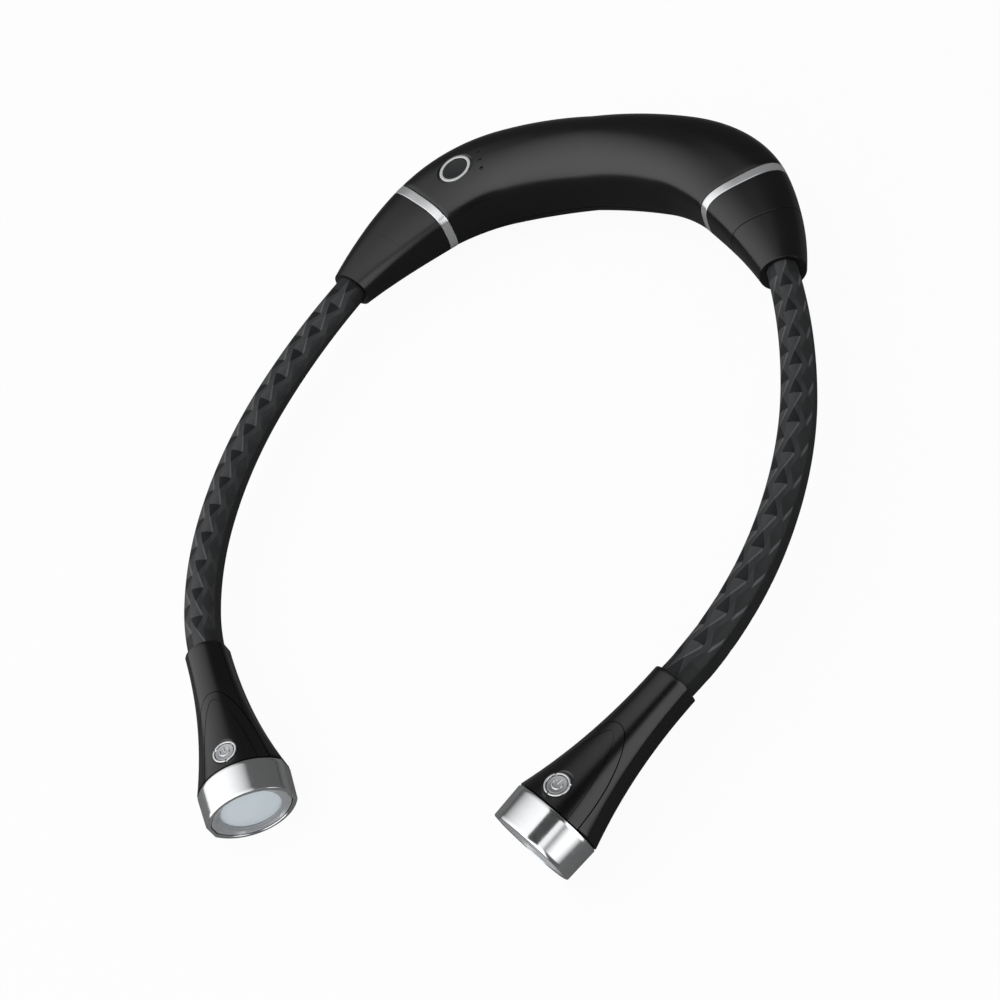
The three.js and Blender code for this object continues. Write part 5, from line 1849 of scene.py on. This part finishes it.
    def button(self) -> None:
        """The metal button with its raised power sign, in a ring with three notches."""
        name, press = self.side.value, self.press_matrix
        ring = HEAD_BUTTON.ring_piece(f"lamp_button_trim_{name}", press)
        combine(ring, "DIFFERENCE", *(
            slot_cutter("notch", self.notch_reach, self.notch_half, self.notch_levels, turn, press)
            for turn in self.notch_turns))
        settle(ring, CHROME_STEEL, self.body, f"head_button_bezel_{name}")
        cap = HEAD_BUTTON.cap_piece(f"lamp_button_cap_{name}", press)
        settle(cap, BUTTON_METAL, f"{name}_head_button", f"head_button_{name}")
        turn, bar = np.linspace(self.sign_gap, 2 * np.pi - self.sign_gap, 40), self.sign_bar
        arc = self.sign_radius * np.stack([-np.cos(turn), np.sin(turn)], -1)
        lines = {"arc": arc, "bar": np.stack([np.linspace(*bar, 8), np.zeros(8)], -1)}
        level = HEAD_BUTTON.cap_rise - self.sign_sink
        sign = join(f"power_sign_{name}", [
            tube(f"{key}_stroke", moved(np.insert(line, 2, level, 1), press), self.sign_stroke, 12)
            for key, line in lines.items()])
        settle(sign, CHROME_STEEL, f"{name}_head_button")

    def collar(self) -> None:
        """The polished collar round the lamp, with soft front and back edges."""
        start, end, wall = self.casing_length + CLEARANCE, self.length, self.collar_wall
        places, insets = path_of([
            (start, wall), *soft_edges(start, end, self.collar_edge), (end, wall - 0.15),
            (end - 0.15, wall), (start, wall)], 0.8)
        stretch = self.on_collar(places[:-1], insets[:-1])
        piece = self.surface(f"lamp_collar_{self.side.value}", stretch)
        settle(piece, CHROME_STEEL, self.body, f"collar_ring_{self.side.value}")

    def bezel(self) -> None:
        """The satin bezel: slopes in from the collar to a bright lip round the lens."""
        front, rim, gap = self.length, self.length - FIT, self.collar_wall + FIT
        lens_front = front - self.lens_recess - self.ledge
        back = lens_front - self.lens_thickness - self.ledge
        angles = angles_of(self.on_collar(np.array([front]), gap)[1][0])
        outer = self.on_collar(
            np.array([back, rim - 0.15, rim]), np.array([gap, gap, gap + 0.15]))
        view, seat = self.lens_view, self.lens_radius
        places, radii = np.array([
            (rim - 0.55, seat + 0.55), (rim - 0.75, seat + 0.25),
            (front - self.lens_recess + 0.12, view), (lens_front + 0.05, view),
            (lens_front, view + 0.05), (lens_front, seat + FIT), (back, seat + FIT)]).T
        inner = places, circle(angles, radii, len(radii))
        piece = self.surface(f"lamp_bezel_{self.side.value}", outer, inner)
        settle(piece, SATIN_BEZEL, self.body, f"lens_bezel_{self.side.value}")

    def lens(self) -> None:
        """The frosted lens: z = rise (1 - (r/R)^2), domed by 0.25 mm at most, and flat behind."""
        front = self.length - self.lens_recess - self.ledge - FIT
        back, reach, edge = front - self.lens_thickness, self.lens_radius, 0.15
        radii = np.linspace(AXIS, self.lens_view - edge, 24)
        dome = front + self.lens_dome * (1.0 - (radii / radii[-1]) ** 2)
        profile = [*zip(radii, dome), (reach - edge, front), (reach, front - edge), (reach, back),
                   (AXIS, back)]
        axis = self.matrix @ standing((0, 1, 0), (1, 0, 0), (0, 0, 0))
        piece = turned(f"lamp_lens_{self.side.value}", profile, axis, 128)
        settle(piece, OPAL_LENS, self.body, f"lens_{self.side.value}")

    def build(self) -> None:
        """Builds every piece of the head."""
        self.casing()
        self.panel()
        self.button()
        self.collar()
        self.bezel()
        self.lens()


# Studio


def sheet(
    name: str, cloth: str, corners: Sequence[tuple[float, float]], height: float,
) -> tuple[Any, Any]:
    """A flat sheet of the studio, and the emptied node tree of its material."""
    mesh = bpy.data.meshes.new(name)
    mesh.from_pydata([(x, y, height) for x, y in corners], [], [tuple(range(len(corners)))])
    mesh.materials.append(bpy.data.materials.new(cloth))
    return put(name, mesh), empty_tree(mesh.materials[0])


@dataclass(frozen=True)
class Softbox:
    """An oblong studio light that nothing mirrors: its place, target, size and power."""

    name: str
    place: tuple[float, float, float]
    target: tuple[float, float, float]
    size: tuple[float, float]
    power: float

    def build(self) -> None:
        """Adds the light."""
        lamp = bpy.data.lights.new(self.name, "AREA")
        lamp.shape = "RECTANGLE"
        lamp.size, lamp.size_y = self.size
        lamp.energy = self.power
        z = unit(np.asarray(self.place) - np.asarray(self.target))
        x = unit(np.cross([0.0, 1.0, 0.0] if abs(z[2]) > 0.95 else [0.0, 0.0, 1.0], z))
        holder = put(self.name, lamp)
        holder.matrix_world = Matrix(standing(x, z, self.place).tolist())
        holder.visible_glossy = False


@dataclass(frozen=True)
class Studio:
    """A pale floor, soft lights and the photograph's camera."""

    lights: tuple[Softbox, ...] = (
        Softbox("overhead_softbox", (-0.28, -0.08, 0.66), (0.0, -0.08, 0.0), (0.7, 0.8), 2.2),
        Softbox("front_softbox", (-0.10, -0.62, 0.20), (0.0, -0.12, 0.01), (0.5, 0.35), 0.5),
    )
    key_side: tuple[float, float, float] = (-0.416, -0.711, 0.489)
    key_edge: tuple[float, float, float] = (0.777, 0.43, -1.0)
    key_fade: tuple[float, float] = (-0.58, -0.46)
    tent: float = 1.85
    falloff: float = 0.66
    far_wall: float = 0.075
    card_side: tuple[float, float, float] = (0.9, -0.1, 0.42)
    card_fade: tuple[float, float] = (0.85, 0.92)
    card: float = 1.5
    fill: float = 0.45
    flag_corners: tuple[tuple[float, float], ...] = (
        (0.050, -0.206), (0.047, -0.230), (0.024, -0.272), (0.072, -0.285), (0.088, -0.258),
        (0.140, -0.234), (0.115, -0.188))
    flag_height: float = 0.110
    flag_tone: float = 0.02
    eye: tuple[float, float, float] = (0.21187, -0.41265, 0.38147)
    right: tuple[float, float, float] = (0.9117, 0.2603, -0.3179)
    up: tuple[float, float, float] = (-0.0154, 0.7947, 0.6067)
    lens: float = 64.8
    floor_drop: float = 0.0001
    floor_reach: float = 2.5
    floor_white: float = 0.95
    floor_tone: float = 0.85
    floor_mirrored: float = 0.16

    def camera(self) -> None:
        """Sets the camera where the photograph was taken from."""
        data = bpy.data.cameras.new("camera")
        data.lens, data.sensor_width = self.lens, 36.0
        data.clip_start, data.clip_end = 0.01, 20.0
        x = unit(self.right)
        holder = put("camera", data)
        holder.matrix_world = Matrix(standing(x, unit(np.cross(x, self.up)), self.eye).tolist())
        bpy.context.scene.camera = holder

    def floor(self) -> None:
        """A wide pale floor that keeps the soft shadow."""
        r = self.floor_reach
        corners = [(-r, -r), (r, -r), (r, r), (-r, r)]
        floor, tree = sheet("floor", "floor_paper", corners, -self.floor_drop)
        path = add_node(tree, "ShaderNodeLightPath").outputs
        tone = add_node(tree, "ShaderNodeMix", {
            0: path["Is Glossy Ray"], 6: grey(self.floor_tone), 7: grey(self.floor_mirrored),
        }, data_type="RGBA").outputs[2]
        paper = add_node(tree, "ShaderNodeBsdfDiffuse", {"Color": tone}).outputs[0]
        glow = {"Color": grey(1.0), "Strength": 1.0}
        white = add_node(tree, "ShaderNodeEmission", glow).outputs[0]
        direct = add_node(tree, "ShaderNodeMath", {
            0: path["Is Camera Ray"], 1: path["Is Transmission Ray"],
        }, operation="ADD", use_clamp=True).outputs[0]
        seen = calculated(tree, "MULTIPLY", direct, self.floor_white)
        mix = add_node(tree, "ShaderNodeMixShader", {0: seen, 1: paper, 2: white})
        add_node(tree, "ShaderNodeOutputMaterial", {"Surface": mix.outputs[0]})

    def flag(self) -> None:
        """A black card over the right lamp head, there for what mirrors it alone."""
        card, tree = sheet("black_flag", "flag_cloth", self.flag_corners, self.flag_height)
        cloth = add_node(tree, "ShaderNodeBsdfDiffuse", {"Color": grey(self.flag_tone)})
        add_node(tree, "ShaderNodeOutputMaterial", {"Surface": cloth.outputs[0]})
        card.visible_camera = card.visible_diffuse = False
        card.visible_transmission = card.visible_shadow = False

    def world(self) -> None:
        """A plain backdrop: white to the camera, and a light tent to all that mirrors it.

        The tent is brightest towards the left front and fades with the cosine of the angle
        from there, up to an edge behind the object; a card stands on its right. The far wall
        is dark. As fill light the tent is even.
        """
        world = bpy.data.worlds.new("studio")
        bpy.context.scene.world = world
        tree = empty_tree(world)
        calc, mix, span = (partial(make, tree) for make in (calculated, mixed, ranged))
        path = add_node(tree, "ShaderNodeLightPath").outputs
        way = add_node(tree, "ShaderNodeTexCoord").outputs["Generated"]
        key_cosine, edge_cosine, card_cosine = (
            add_node(tree, "ShaderNodeVectorMath", {0: way, 1: side}, operation="DOT_PRODUCT")
            .outputs["Value"] for side in (self.key_side, self.key_edge, self.card_side))
        key = calc("POWER", span(key_cosine, 0.0, 1.0, 0.0, 0.98), self.falloff)
        shade = span(edge_cosine, 1.0, 0.0, *self.key_fade)
        key = calc("MULTIPLY_ADD", calc("MULTIPLY", key, self.tent), shade, self.far_wall)
        tent = calc("ADD", key, span(card_cosine, 0.0, self.card, *self.card_fade))
        fill = mix(path["Is Glossy Ray"], self.fill, tent)
        strength = mix(path["Is Camera Ray"], fill, 1.0)
        back = add_node(tree, "ShaderNodeBackground", {"Color": grey(1.0), "Strength": strength})
        add_node(tree, "ShaderNodeOutputWorld", {"Surface": back.outputs[0]})

    def build(self) -> None:
        """Builds the studio."""
        self.camera()
        self.floor()
        self.flag()
        self.world()
        for light in self.lights:
            light.build()
        bpy.context.scene.view_settings.view_transform = "Standard"


def dress_cad_nodes() -> None:
    """Gives the CAD nodes that stay, most of them inside, their finishes."""
    for name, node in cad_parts.items():
        for start, finish in CAD_FINISHES.items():
            if name.startswith(start):
                finish.coat(node)


def main() -> None:
    """Builds the light and its studio, piece by piece."""
    logging.basicConfig(level=logging.INFO, format="%(name)s %(message)s")
    Studio().build()
    Housing().build()
    for side in Side:
        Arm(side).build()
        LampHead(side).build()
    dress_cad_nodes()


if __name__ == "__main__":
    main()
